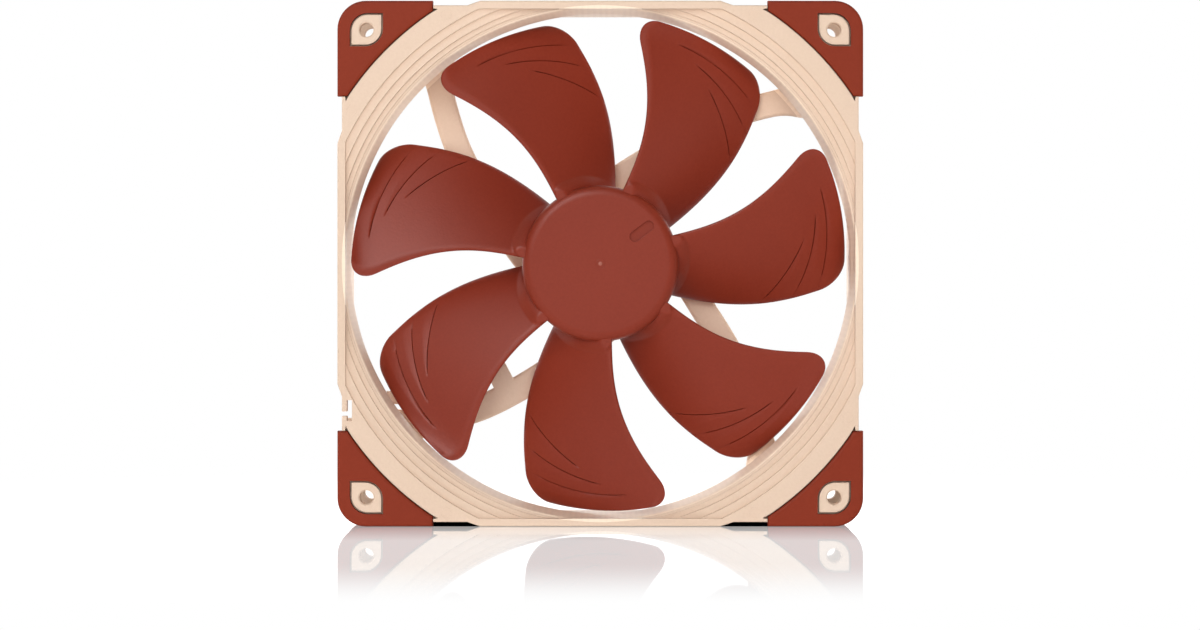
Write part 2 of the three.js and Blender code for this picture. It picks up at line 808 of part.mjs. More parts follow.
// One pole as seen from the front: a tooth and the shoe at its end, on the +X side.
function poleShape(toothHalf, root, shoeInner, shoeOuter, halfDegrees) {
  const shape = new THREE.Shape();
  const shoeAngle = radians(halfDegrees);
  const meet = Math.asin(toothHalf / shoeInner);
  shape.moveTo(root, -toothHalf);
  shape.lineTo(shoeInner * Math.cos(meet), -toothHalf);
  shape.absarc(0, 0, shoeInner, -meet, -shoeAngle, true);
  shape.absarc(0, 0, shoeOuter, -shoeAngle, shoeAngle, false);
  shape.absarc(0, 0, shoeInner, shoeAngle, meet, true);
  shape.lineTo(root, toothHalf);
  return shape;
}

function starSolid(toothHalf, hubOuter, shoeInner, shoeOuter, halfDegrees, front, rear) {
  const pole = poleShape(toothHalf, collarBore, shoeInner, shoeOuter, halfDegrees);
  const arm = solidOf(plate(pole, front, rear, 4));
  let star = solidOf(disc(hubOuter, front, rear));
  for (let i = 0; i < poleCount; i++) {
    star = star.add(arm.rotate([0, (360 * i) / poleCount, 0]));
  }
  return star.subtract(solidOf(disc(collarBore, front - 1, rear + 1)));
}

const insulatorHalf = toothWidth / 2 + insulatorMargin;
const insulatorHub = coreHub + 0.7;

function insulatorSolid(front, rear) {
  const halfDegrees = shoeHalfDegrees - 4;
  const shoeOuter = shoeInner + 0.9;
  return starSolid(insulatorHalf, insulatorHub, shoeInner, shoeOuter, halfDegrees, front, rear);
}

const coreSolid = starSolid(
  toothWidth / 2,
  coreHub,
  shoeInner,
  coreRadius,
  shoeHalfDegrees,
  coreFrontY,
  coreRearY,
);
addPart("stator_core", geometryOf(coreSolid), "lamination");

const insulatorFront = insulatorSolid(coreFrontY - insulatorThickness, coreFrontY - 0.05);
const insulatorRear = insulatorSolid(coreRearY + 0.05, coreRearY + insulatorThickness);
addPart("insulator_front", geometryOf(insulatorFront), "insulator");
addPart("insulator_rear", geometryOf(insulatorRear), "insulator");

// A coil: a rounded rectangular winding round one tooth, drawn along the tooth.
function coilSolid() {
  const across = insulatorHalf + 0.15;
  const axial = (coilRearY - coilFrontY) / 2 - coilWall;
  const outline = roundedRectangle(axial + coilWall, across + coilWall, coilWall);
  outline.holes.push(roundedRectangle(axial, across, 0.3));
  const reach = Math.sqrt((shoeInner - coilGap) ** 2 - (across + coilWall) ** 2);
  const coilLength = reach - insulatorHub - coilToHub;
  const options = { depth: coilLength, bevelEnabled: false, curveSegments: 2 };
  const coil = new THREE.ExtrudeGeometry(outline, options);
  coil.rotateX(-Math.PI / 2);
  coil.rotateZ(-Math.PI / 2);
  coil.translate(reach - coilLength, (coilFrontY + coilRearY) / 2, 0);
  return solidOf(coil);
}

function roundedRectangle(halfWidth, halfHeight, rounding) {
  const shape = new THREE.Shape();
  const corners = [
    [halfWidth - rounding, -halfHeight + rounding, -Math.PI / 2],
    [halfWidth - rounding, halfHeight - rounding, 0],
    [-halfWidth + rounding, halfHeight - rounding, Math.PI / 2],
    [-halfWidth + rounding, -halfHeight + rounding, Math.PI],
  ];
  corners.forEach(([x, y, start]) => {
    shape.absarc(x, y, rounding, start, start + Math.PI / 2);
  });
  return shape;
}

const coil = coilSolid();
for (let i = 0; i < poleCount; i++) {
  const turn = (360 * i) / poleCount;
  addPart(`coil_${i + 1}`, geometryOf(coil.rotate([0, turn, 0])), "copper");
}

// ---------------------------------------------------------------- circuit board and its pieces

const pinRadius = 0.35;
const pinCircle = insulatorHub - 0.6;
const pinDegrees = [45, 135, 225];
const pinBoardHoles = pinDegrees.map((degrees) => {
  const hole = disc(pinRadius + 0.15, boardFrontY - 1, boardRearY + 1, 16);
  const [x, z] = polar(pinCircle, degrees);
  return solidOf(hole.translate(x, 0, z));
});

const boardSolid = cutFrom(
  solidOf(ring(collarRadius + 0.2, boardRadius, boardFrontY, boardRearY, hubFacets)),
  ...pinBoardHoles,
);
addPart("circuit_board", geometryOf(boardSolid), "circuitBoard");

pinDegrees.forEach((degrees, index) => {
  const pin = disc(pinRadius, coreRearY + insulatorThickness + 0.05, boardRearY + 0.6, 16);
  const [x, z] = polar(pinCircle, degrees);
  addPart(`winding_pin_${index + 1}`, pin.translate(x, 0, z), "steel");
});

// A component that sits on the board's front (side -1) or rear (side 1) face.
function addComponent(name, [width, height, length], radius, degrees, side, finish) {
  const face = side < 0 ? boardFrontY : boardRearY;
  const y = face + side * (0.05 + height / 2);
  const component = box(length, height, width, radius, y, 0);
  addPart(name, turnAboutAxis(component, degrees), finish);
}

const chipSize = [4.9, 1.4, 3.9];
const hallSize = [3.0, 1.1, 1.5];
const capacitorSize = [1.6, 1.1, 2.6];
const resistorSize = [0.9, 0.5, 1.7];
const diodeSize = [1.7, 1.1, 3.0];
addComponent("driver_chip", chipSize, 13, 120, 1, "chipBlack");
addComponent("hall_sensor", hallSize, magnetRadius - magnetWall / 2, 45, -1, "chipBlack");
addComponent("capacitor_1", capacitorSize, 12.5, 25, 1, "ceramic");
addComponent("capacitor_2", capacitorSize, 12.5, 5, 1, "ceramic");
addComponent("resistor_1", resistorSize, 12.5, 75, 1, "chipBlack");
addComponent("resistor_2", resistorSize, 15.5, 75, 1, "chipBlack");
addComponent("supply_diode", diodeSize, 13, 200, 1, "chipBlack");

// ---------------------------------------------------------------- rear label

const labelFrontY = baseRearY - 0.3;
addPart("rear_label", disc(labelRadius(), labelFrontY, labelFrontY + labelThickness, hubFacets), "label");

export default fan;
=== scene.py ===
import math

import bmesh
import bpy
import numpy as np
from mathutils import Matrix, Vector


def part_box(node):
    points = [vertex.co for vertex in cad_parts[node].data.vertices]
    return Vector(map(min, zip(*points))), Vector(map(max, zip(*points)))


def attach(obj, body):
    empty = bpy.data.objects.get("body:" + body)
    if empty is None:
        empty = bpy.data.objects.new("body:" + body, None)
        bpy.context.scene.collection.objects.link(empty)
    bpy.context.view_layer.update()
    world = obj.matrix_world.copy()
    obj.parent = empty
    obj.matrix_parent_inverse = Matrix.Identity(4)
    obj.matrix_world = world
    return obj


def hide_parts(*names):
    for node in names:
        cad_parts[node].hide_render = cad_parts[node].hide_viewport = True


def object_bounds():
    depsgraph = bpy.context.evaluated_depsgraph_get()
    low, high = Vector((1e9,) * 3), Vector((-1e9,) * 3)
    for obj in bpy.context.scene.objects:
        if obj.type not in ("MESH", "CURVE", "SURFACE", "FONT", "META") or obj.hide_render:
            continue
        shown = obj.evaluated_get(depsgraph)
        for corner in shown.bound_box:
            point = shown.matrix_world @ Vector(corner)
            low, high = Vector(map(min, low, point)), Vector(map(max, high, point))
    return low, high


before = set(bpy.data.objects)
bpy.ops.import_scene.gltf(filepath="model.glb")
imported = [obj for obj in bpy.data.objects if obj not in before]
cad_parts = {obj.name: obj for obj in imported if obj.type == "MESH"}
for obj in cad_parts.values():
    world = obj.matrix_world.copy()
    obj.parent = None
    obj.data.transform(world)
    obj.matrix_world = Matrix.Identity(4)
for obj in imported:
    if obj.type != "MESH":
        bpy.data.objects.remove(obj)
cad_low, cad_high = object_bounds()


# ---------------------------------------------------------------- frame
# The frame is one injection moulding in beige glass-filled plastic: two square flanges, a
# round duct with a stepped inlet, four curved struts and the motor's base. It carries every
# other piece on this side. Its sizes below are in millimetres.

MM = 0.001
frame_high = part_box("frame")[1]
side = frame_high.x / MM
face = frame_high.y / MM

hole_offset = side - 7.75
flange = 4.2
side_inset = 1.2
throat_radius = side - 2.8
mouth_radius = throat_radius + 2.3
stair_radii = [mouth_radius + 5.65, mouth_radius + 3.4, mouth_radius + 1.35]
stair_drop = 1.0
pad_arc_radius = stair_radii[0] + 5.25
pad_end = math.sqrt(pad_arc_radius**2 - (side - 3.1) ** 2)
base_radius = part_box("rear_label")[1].x / MM + 2.4
base_rear = face - 0.1
base_inner = base_rear - 1.6
base_front = base_rear - 5.5
strut_front = face - 2.7
strut_width = 7.0
beyond = 20  # a depth well past either face, for cuts that run right through


def arc(centre_x, centre_z, radius, start, end, steps):
    """Points along an arc, its angles in degrees anticlockwise from +X seen from the intake."""
    angles = np.radians(np.linspace(start, end, steps + 1))
    return [(centre_x + radius * math.cos(a), centre_z + radius * math.sin(a)) for a in angles]


def placed(name, data):
    """A new object in the scene."""
    body = bpy.data.objects.new(name, data)
    bpy.context.scene.collection.objects.link(body)
    return body


def solid(name, points, faces):
    """A closed mesh object with its doubles merged and its faces pointing outwards."""
    mesh = bpy.data.meshes.new(name)
    mesh.from_pydata([tuple(map(float, p)) for p in points], [], faces)
    shell = bmesh.new()
    shell.from_mesh(mesh)
    bmesh.ops.remove_doubles(shell, verts=shell.verts, dist=1e-5)
    if shell.calc_volume(signed=True) < 0:
        bmesh.ops.reverse_faces(shell, faces=shell.faces)
    shell.to_mesh(mesh)
    shell.free()
    return placed(name, mesh)


def drawn_in(outline, distance):
    """The anticlockwise outline moved inwards by a distance."""
    points = np.array(outline, float)
    ahead = np.roll(points, -1, 0) - points
    ahead /= np.linalg.norm(ahead, axis=1)[:, None]
    inward = np.stack([-ahead[:, 1], ahead[:, 0]], 1)
    before = np.roll(inward, 1, 0)
    share = 1 + np.sum(inward * before, 1)
    return points + distance * (inward + before) / share[:, None]


def quarter_round(steps):
    """Pairs from (1, 0) to (0, 1) along a quarter circle."""
    angles = np.linspace(0, math.pi / 2, steps)
    return [(1 - math.sin(a), 1 - math.cos(a)) for a in angles]


def lofted(name, sections):
    """A solid through closed sections of equally many points each, with flat ends."""
    count = len(sections[0])
    points = [p for section in sections for p in section]
    faces = []
    for k in range(len(sections) - 1):
        low, high = k * count, (k + 1) * count
        for i in range(count):
            j = (i + 1) % count
            faces.append((low + i, low + j, high + j, high + i))
    faces.append(tuple(range(count))[::-1])
    faces.append(tuple(range((len(sections) - 1) * count, len(sections) * count)))
    return solid(name, points, faces)


def prism(name, outline, front, rear, front_round=0.0, rear_round=0.0):
    """A plate between two depths, with its front and rear edges rounded."""
    rings = []
    for depth, rounding, sign in ((front, front_round, 1), (rear, rear_round, -1)):
        turns = quarter_round(5 if rounding else 1)
        loops = [(rounding * u, depth + sign * rounding * v) for u, v in turns]
        rings += loops if sign > 0 else loops[::-1]
    return lofted(name, [[(x, y, z) for x, z in drawn_in(outline, inset)] for inset, y in rings])


def turned(name, profile, segments=256, centre=(0.0, 0.0)):
    """A solid turned about a line along Y, from a profile of (radius, y)."""
    profile = list(profile)
    on_axis = abs(profile[0][0]) < 1e-9 and abs(profile[-1][0]) < 1e-9
    points, faces = [], []
    for radius, y in profile:
        for k in range(segments):
            a = 2 * math.pi * k / segments
            points.append((centre[0] + radius * math.cos(a), y, centre[1] + radius * math.sin(a)))
    rows = len(profile)
    for row in range(rows - 1 if on_axis else rows):
        low, high = row * segments, ((row + 1) % rows) * segments
        for k in range(segments):
            n = (k + 1) % segments
            faces.append((low + k, low + n, high + n, high + k))
    return solid(name, points, faces)


def disc(name, radius, front, rear, segments=256):
    return turned(name, [(0, front), (radius, front), (radius, rear), (0, rear)], segments)


def softened(points, radius, steps=4, closed=False):
    """A line of points with each of its corners rounded to a radius."""
    points = [np.array(p, float) for p in points]
    count = len(points)
    out = [] if closed else [tuple(points[0])]
    for i in range(0 if closed else 1, count if closed else count - 1):
        before, here, after = points[i - 1], points[i], points[(i + 1) % count]
        back, ahead = before - here, after - here
        back_length, ahead_length = np.linalg.norm(back), np.linalg.norm(ahead)
        back, ahead = back / back_length, ahead / ahead_length
        corner = math.acos(max(-1.0, min(1.0, float(back @ ahead))))
        if corner > math.radians(170):
            out.append(tuple(here))
            continue
        reach = min(radius / math.tan(corner / 2), back_length / 2.05, ahead_length / 2.05)
        first, last = here + back * reach, here + ahead * reach
        bulge = reach * math.tan(corner / 2)
        middle = here + (back + ahead) / np.linalg.norm(back + ahead) * bulge / math.sin(corner / 2)
        start, end = first - middle, last - middle
        for k in range(steps + 1):
            t = k / steps
            swing = math.pi - corner
            spoke = math.sin((1 - t) * swing) * start + math.sin(t * swing) * end
            out.append(tuple(middle + spoke / math.sin(swing)))
    if not closed:
        out.append(tuple(points[-1]))
    return out


def baked(body):
    """Turns a body's modifiers into its own plain mesh."""
    bpy.context.view_layer.update()
    mesh = bpy.data.meshes.new_from_object(
        body.evaluated_get(bpy.context.evaluated_depsgraph_get())
    )
    body.modifiers.clear()
    body.data = mesh
    return body


def combined(body, tools, operation):
    """Joins, cuts or clips a body with tools, which are used up."""
    for tool in tools:
        step = body.modifiers.new(tool.name, "BOOLEAN")
        step.operation, step.solver, step.object = operation, "MANIFOLD", tool
    baked(body)
    for tool in tools:
        bpy.data.objects.remove(tool)
    return body


def carved(body, *tools):
    return combined(body, tools, "DIFFERENCE")


def fused(body, *tools):
    return combined(body, tools, "UNION")


def kept_inside(body, *tools):
    return combined(body, tools, "INTERSECT")


def block(name, low, high):
    """A plain box between two corners."""
    outline = [(low[0], low[2]), (high[0], low[2]), (high[0], high[2]), (low[0], high[2])]
    return prism(name, outline, low[1], high[1])


def turned_copy(body, degrees, mirrored=False):
    """A copy turned about the axis, anticlockwise from the intake, and mirrored to the rear."""
    copy = placed(body.name, body.data.copy())
    points = np.zeros(len(copy.data.vertices) * 3)
    copy.data.vertices.foreach_get("co", points)
    points = points.reshape(-1, 3)
    c, s = math.cos(math.radians(degrees)), math.sin(math.radians(degrees))
    x, z = points[:, 0] * c - points[:, 2] * s, points[:, 0] * s + points[:, 2] * c
    y = -points[:, 1] if mirrored else points[:, 1]
    copy.data.vertices.foreach_set("co", np.stack([x, y, z], 1).ravel())
    if mirrored:
        copy.data.flip_normals()
    copy.data.update()
    return copy


def turned_copies(body, places):
    """Copies of a body at (degrees, mirrored) places about the axis. The body is used up."""
    copies = [turned_copy(body, *place) for place in places]
    bpy.data.objects.remove(body)
    return copies


full_width_end, step_end, flange_round = 32.0, 35.4, 6.0


def flange_outline():
    """A flange's plate: full width in the middle of each side, stepped back by the corners."""
    inset, rounding = side - side_inset, flange_round
    quarter = [(inset, -step_end), (side, -full_width_end)]
    quarter += [(side, full_width_end), (inset, step_end)]
    quarter += arc(inset - rounding, inset - rounding, rounding, 0, 90, 10)
    outline = []
    for k in range(4):
        c, s = round(math.cos(k * math.pi / 2)), round(math.sin(k * math.pi / 2))
        outline += [(x * c - z * s, x * s + z * c) for x, z in quarter]
    return outline


front_flange = prism("front_flange", flange_outline(), -face, -face + flange, 0.45, 0.3)
rear_flange = prism("rear_flange", flange_outline(), face - flange, face, 0.3, 0.45)
duct_wall = throat_radius + 2.4
duct = disc("duct", duct_wall, -face + 0.6, face - 0.6)
moulding = fused(front_flange, rear_flange, duct)

# The air's way through: rounded stairs, a bellmouth, the throat and a flared outlet.
lip = 0.22
stairs = [(stair_radii[0], -face + lip)]
for k, radius in enumerate(stair_radii):
    floor = -face + (k + 1) * stair_drop
    inner = stair_radii[k + 1] if k + 1 < len(stair_radii) else mouth_radius
    stairs += [(radius, floor), (inner, floor)]
mouth_depth = -face + len(stair_radii) * stair_drop
shoulder, mouth_step, curve_depth, taper_depth = 1.0, 0.55, 1.6, 5.95
shoulder_radius = throat_radius + shoulder
bell_width = mouth_radius - 0.15 - shoulder_radius
curve_start = mouth_depth + mouth_step
bell = [
    (shoulder_radius + bell_width * u, curve_start + curve_depth * v)
    for u, v in quarter_round(11)
]
bell += [
    (throat_radius + shoulder * (1 - t) ** 1.3, curve_start + curve_depth + taper_depth * t)
    for t in np.linspace(0.12, 1, 9)
]
inlet = [(0, -face - 1), (stair_radii[0] + lip, -face - 1)]
inlet += [(stair_radii[0] + lip * u, -face + lip * v) for u, v in quarter_round(5)[:-1]]
inlet += softened(stairs + [(mouth_radius, bell[0][1]), bell[0]], 0.14)[:-1]
inlet += bell + [(0, bell[-1][1])]
flat_rim = side - 2.1
flare_depth, flare = 13.1, 1.4
inlet_cut = kept_inside(
    turned("inlet", inlet, 320),
    block("inlet_clip", (-flat_rim, -beyond, -flat_rim), (flat_rim, beyond, flat_rim)),
)
outlet = [(0, face - flare_depth), (throat_radius, face - flare_depth)]
outlet += [
    (throat_radius + flare * t**1.2, face - flare_depth * (1 - t))
    for t in np.linspace(0.1, 1, 10)
]
outlet += [(throat_radius + 1.7, face + 1), (0, face + 1)]
flat_side = throat_radius + 0.1
outlet_cut = kept_inside(
    turned("outlet", outlet, 320),
    block("outlet_clip", (-flat_side, -beyond, -flat_side), (flat_side, beyond, flat_side)),
)
throat_cut = disc("throat", throat_radius, -face - 2, face + 2, 320)
moulding = carved(moulding, inlet_cut, throat_cut, outlet_cut)

# Each strut's line is an arc that leaves the duct and runs into the base beside the axis.
strut_bend = 136.0
strut_centre = strut_bend - 14.6
strut_root = throat_radius + 1.2
root_angle = 131.5  # where the first strut leaves the duct, in degrees


def strut_swing(radius):
    """The turn about the arc's centre, from the fan's axis to the strut's line at a radius."""
    sides = strut_bend**2 + strut_centre**2 - radius**2
    return math.acos(sides / (2 * strut_bend * strut_centre))


centre_angle = math.radians(root_angle) - math.acos(
    (strut_root**2 + strut_centre**2 - strut_bend**2) / (2 * strut_root * strut_centre)
)
strut_start = centre_angle + math.pi - strut_swing(strut_root)
strut_length = strut_bend * (strut_swing(strut_root) - strut_swing(base_radius - 4.0))


def strut_place(distance):
    """The point on a strut's line and the way to its right, after a distance from the duct."""
    angle = strut_start + distance / strut_bend
    near, middle, far = -1.1 * math.exp(-distance / 7), (distance - 21) / 8, (distance - 42) / 7
    reach = strut_bend + near + 0.35 * math.exp(-middle * middle) - 0.35 * math.exp(-far * far)
    x = strut_centre * math.cos(centre_angle) + reach * math.cos(angle)
    z = strut_centre * math.sin(centre_angle) + reach * math.sin(angle)
    return x, z, math.cos(angle), math.sin(angle)


def strut_bar(name, start, end, offset, width_at, front, rear, front_round=0.0, rear_round=0.0):
    """A bar along the strut's line, at an offset to its right, with rounded long edges."""
    sections = []
    for distance in np.linspace(start, end, 44):
        x, z, nx, nz = strut_place(distance)
        half = width_at(distance) / 2
        top = front(distance) if callable(front) else front
        ring = []
        corners = (
            (half, rear, rear_round, 0), (-half, rear, rear_round, 90),
            (-half, top, front_round, 180), (half, top, front_round, 270),
        )
        for across, y, rounding, turn in corners:
            if not rounding:
                ring.append((across, y))
                continue
            middle_across = across - math.copysign(rounding, across)
            middle_y = y - math.copysign(rounding, y - (top + rear) / 2)
            ring += arc(middle_across, middle_y, rounding, turn, turn + 90, 4)
        sections.append([(x + nx * (offset + a), y, z + nz * (offset + a)) for a, y in ring])
    return lofted(name, sections)


def flared(distance):
    nearness = max(0.0, 1 - distance / 5.5)
    return strut_width + 1.4 * min(nearness, 1.4) ** 2


def lifted(distance):
    nearness = max(0.0, 1 - distance / 3.0)
    return strut_front - 0.7 * min(nearness, 1.2) ** 2


rail_width, slot_width, rail_length, bridge_width = 3.6, 2.8, 25.6, 5.5
rail_offset = -(strut_width / 2 + slot_width + rail_width / 2)
bridge_span = -(rail_offset - rail_width / 2)


def bridge_taper(distance):
    return bridge_span * (1 - 0.35 * (distance - rail_length) / bridge_width)


outside = -4.5
strut = strut_bar("strut", outside, strut_length, 0, flared, lifted, base_rear, 0.9, 0.4)
rail = strut_bar(
    "rail", outside, rail_length, rail_offset, lambda d: rail_width, lifted, base_rear, 0.6, 0.3
)
bridge = strut_bar(
    "bridge", rail_length - 0.5, rail_length + bridge_width, -bridge_span / 2, bridge_taper,
    strut_front, base_rear, 0.6, 0.3,
)
struts = turned_copies(strut, [(90 * k,) for k in range(4)])
struts += turned_copies(rail, [(90,)]) + turned_copies(bridge, [(90,)])
spider = fused(struts[0], *struts[1:])
spider = kept_inside(spider, disc("reach", duct_wall - 0.3, 0, face))
base_bore, label_seat, seat_floor = base_radius - 1.5, base_radius - 2.2, base_rear - 0.35
spider = carved(spider, disc("base_cavity", base_bore, strut_front - 1, base_inner))
collar_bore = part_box("bearing_tube")[1].x / MM + 0.1
collar_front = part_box("insulator_rear")[1].y / MM + 0.2
base_profile = [
    (collar_bore, collar_front), (collar_bore + 1.0, collar_front),
    (collar_bore + 1.0, base_inner), (base_bore, base_inner), (base_bore, base_front),
    (base_radius, base_front), (base_radius, base_rear), (label_seat, base_rear),
    (label_seat, seat_floor), (collar_bore, seat_floor),
]
base = turned("motor_base", softened(base_profile, 0.3, closed=True))
moulding = fused(moulding, spider, base)


# The corners: recesses for the pads, the islands round the screw holes and the holes.
def corner_outline(arc_radius, outer, rounding, end):
    """The top right corner between the flange's edges and an arc round the fan's axis."""
    arc_end = math.sqrt(arc_radius**2 - end**2)
    sweep = math.degrees(math.atan2(end, arc_end))
    outline = [(outer, end)]
    outline += arc(outer - rounding, outer - rounding, rounding, 0, 90, 12)
    outline += [(end, outer)]
    outline += arc(0, 0, arc_radius, 90 - sweep, sweep, 28)
    return outline


def eye_outline(size, rounding):
    """A square round a screw hole with two opposite corners rounded, like an eye."""
    low, high = hole_offset - size / 2, hole_offset + size / 2
    outline = [(high, low)] + arc(high - rounding, high - rounding, rounding, 0, 90, 12)
    outline += [(low, high)] + arc(low + rounding, low + rounding, rounding, 180, 270, 12)
    return outline


recess_outline = corner_outline(pad_arc_radius + 0.05, side + 1, 7.2, pad_end - 0.15)
recess = prism("recess", recess_outline, -beyond, -face + 1.6)
arc_end = math.sqrt(pad_arc_radius**2 - pad_end**2)
lock_points = ((-0.1, 0.3), (0.85, -1.4), (1.15, 0.3))
lock = [(arc_end + x, pad_end + z) for x, z in lock_points]
lock_across = [(z, x) for x, z in (lock[0], lock[2], lock[1])]
notches = [prism("lock_notch", o, -beyond, -face + flange - 0.8) for o in (lock, lock_across)]
island = prism("island", eye_outline(8.05, 4.3), -face, -face + 1.9, 0.3)
mouth, hole_radius = 0.35, 1.85
screw_hole = turned(
    "screw_hole",
    [
        (0, -beyond), (hole_radius + mouth, -beyond), (hole_radius + mouth, -face),
        (hole_radius, -face + mouth), (hole_radius, face - mouth), (hole_radius + mouth, face),
        (hole_radius + mouth, beyond), (0, beyond),
    ],
    64,
    (hole_offset, hole_offset),
)
quarters = [(k * 90, mirrored) for k in range(4) for mirrored in (False, True)]
corner_cuts = [cut for tool in (recess, *notches) for cut in turned_copies(tool, quarters)]
moulding = carved(moulding, *corner_cuts)
moulding = fused(moulding, *turned_copies(island, quarters))
moulding = carved(moulding, *turned_copies(screw_hole, [(90 * k,) for k in range(4)]))

# The cord's way out: a channel along its strut, a keyhole and an open notch in the flanges.
notch_height = -pad_end + 5.5
inner = -side + 3.9
front_through = -face + flange + 1
channel = strut_bar("cord_channel", -2.4, strut_length - 8, 0, lambda d: 4.2, face - 1.6, face + 1)

def side_cut(name, left, right, front, rear, low, high):
    """A cut through the left side; its heights are measured from the notch's middle."""
    return block(name, (left, front, notch_height + low), (right, rear, notch_height + high))


outer_left = -side - 1
keyhole = side_cut("keyhole", inner - 1.4, inner, -beyond, front_through, -2.75, 2.75)
keyhole_mouth = side_cut(
    "keyhole_mouth", outer_left, inner - 0.9, -beyond, front_through, -1.57, -0.27
)
open_notch = side_cut("open_notch", outer_left, -side + 4.9, face - flange - 1, beyond, -3, 3)
cord_cuts = (*turned_copies(channel, [(90,)]), keyhole, keyhole_mouth, open_notch)
moulding = carved(moulding, *cord_cuts)

# The mould's ejector pins leave faint rings on the front flange.
ring_profile = [(1.25, -beyond), (1.42, -beyond), (1.42, -face + 0.09), (1.25, -face + 0.09)]
pin_places = ((66.0, 40.9), (41.0, 66.2))
signs = ((-1, -1), (-1, 1), (1, -1), (1, 1))
rings = [
    turned("pin_ring", ring_profile, 40, (across * x, up * z))
    for x, z in pin_places
    for across, up in signs
]
moulding = carved(moulding, *rings)


# Shader tools: nodes are added with their inputs as values or as links.
def add(tree, kind, inputs=(), **settings):
    node = tree.nodes.new(kind)
    for name, value in settings.items():
        setattr(node, name, value)
    for name, value in dict(inputs).items():
        socket = node.inputs[name]
        if isinstance(value, bpy.types.NodeSocket):
            tree.links.new(value, socket)
        else:
            socket.default_value = value
    return node


def shader_group(name, inputs, outputs):
    """A group of named numbers in and out; gives its tree, its inputs' links and its outputs."""
    tree = bpy.data.node_groups.new(name, "ShaderNodeTree")
    for label, value in inputs.items():
        socket = tree.interface.new_socket(label, in_out="INPUT", socket_type="NodeSocketFloat")
        socket.default_value = value
    for label in outputs:
        tree.interface.new_socket(label, in_out="OUTPUT", socket_type="NodeSocketFloat")
    return tree, tree.nodes.new("NodeGroupInput").outputs, tree.nodes.new("NodeGroupOutput").inputs


def figure(tree, operation, first, second=0.0):
    return add(tree, "ShaderNodeMath", {0: first, 1: second}, operation=operation).outputs[0]


def ramp(tree, value, start, end, low=0.0, high=1.0, soft=False):
    inputs = {"Value": value, "From Min": start, "From Max": end, "To Min": low, "To Max": high}
    kind = "SMOOTHSTEP" if soft else "LINEAR"
    return add(tree, "ShaderNodeMapRange", inputs, interpolation_type=kind).outputs[0]


def mixed(tree, factor, first, second):
    node = add(tree, "ShaderNodeMix", {"Factor": factor}, data_type="RGBA")
    for socket, value in ((node.inputs[6], first), (node.inputs[7], second)):
        if isinstance(value, bpy.types.NodeSocket):
            tree.links.new(value, socket)
        else:
            socket.default_value = value
    return node.outputs[2]


def linear(red, green, blue):
    """A colour given in 0 to 255 as it looks, turned into the linear values that nodes use."""
    levels = [c / 255 for c in (red, green, blue)]
    return (*[c / 12.92 if c < 0.04045 else ((c + 0.055) / 1.055) ** 2.4 for c in levels], 1.0)


def object_place(tree):
    return add(tree, "ShaderNodeTexCoord").outputs["Object"]


def parts_of(tree, vector):
    return add(tree, "ShaderNodeSeparateXYZ", {0: vector}).outputs


def measured(tree, operation, first, second=(0, 0, 0)):
    """A number taken from one vector or two."""
    inputs = {0: first, 1: second}
    return add(tree, "ShaderNodeVectorMath", inputs, operation=operation).outputs["Value"]


def from_axis(tree, place):
    """The distance from the spin axis."""
    flat = add(tree, "ShaderNodeVectorMath", {0: place, 1: (1, 0, 1)}, operation="MULTIPLY")
    return measured(tree, "LENGTH", flat.outputs[0])


def spots(tree, place, scale):
    """The distance from the middle of the nearest cell."""
    return add(tree, "ShaderNodeTexVoronoi", {"Vector": place, "Scale": scale}).outputs["Distance"]


def noise(tree, place, scale, detail=2.0, roughness=0.5):
    inputs = {"Vector": place, "Scale": scale, "Detail": detail, "Roughness": roughness}
    return add(tree, "ShaderNodeTexNoise", inputs).outputs[0]


def surfaced(tree, shader, tone, roughness, height, strength, distance, **settings):
    """Wires a colour, a roughness and a bump of some strength and height into a shader."""
    bump = add(
        tree, "ShaderNodeBump", {"Height": height, "Strength": strength, "Distance": distance},
        **settings,
    )
    tree.links.new(tone, shader.inputs["Base Color"])
    tree.links.new(roughness, shader.inputs["Roughness"])
    tree.links.new(bump.outputs[0], shader.inputs["Normal"])
    return bump


def new_material(name, **constants):
    material = bpy.data.materials.new(name)
    material.use_nodes = True
    shader = material.node_tree.nodes["Principled BSDF"]
    for label, value in constants.items():
        shader.inputs[label.replace("_", " ")].default_value = value
    return material, material.node_tree, shader


def placed_group(tree, group, **values):
    node = add(tree, "ShaderNodeGroup", node_tree=bpy.data.node_groups[group])
    for label, value in values.items():
        node.inputs[label.replace("_", " ")].default_value = value
    return node.outputs


# Moulded grain: the fine texture that a spark-eroded mould leaves, with slow tone changes.
tree, given, made = shader_group(
    "Moulded grain", {"Grain scale": 1400.0, "Roughness": 0.5, "Spread": 0.1},
    ["Height", "Tone", "Roughness"],
)
place = object_place(tree)
fine = noise(tree, place, given["Grain scale"], 3.0, 0.6)
pits = spots(tree, place, given["Grain scale"])
slow = noise(tree, place, 24.0, 3.0)
height = figure(tree, "ADD", fine, figure(tree, "MULTIPLY", pits, 0.5))
tone = figure(tree, "MULTIPLY", figure(tree, "ADD", slow, fine), 0.5)
swing = figure(tree, "MULTIPLY", figure(tree, "SUBTRACT", slow, 0.5), given["Spread"])
tree.links.new(height, made["Height"])
tree.links.new(tone, made["Tone"])
tree.links.new(figure(tree, "ADD", given["Roughness"], swing), made["Roughness"])

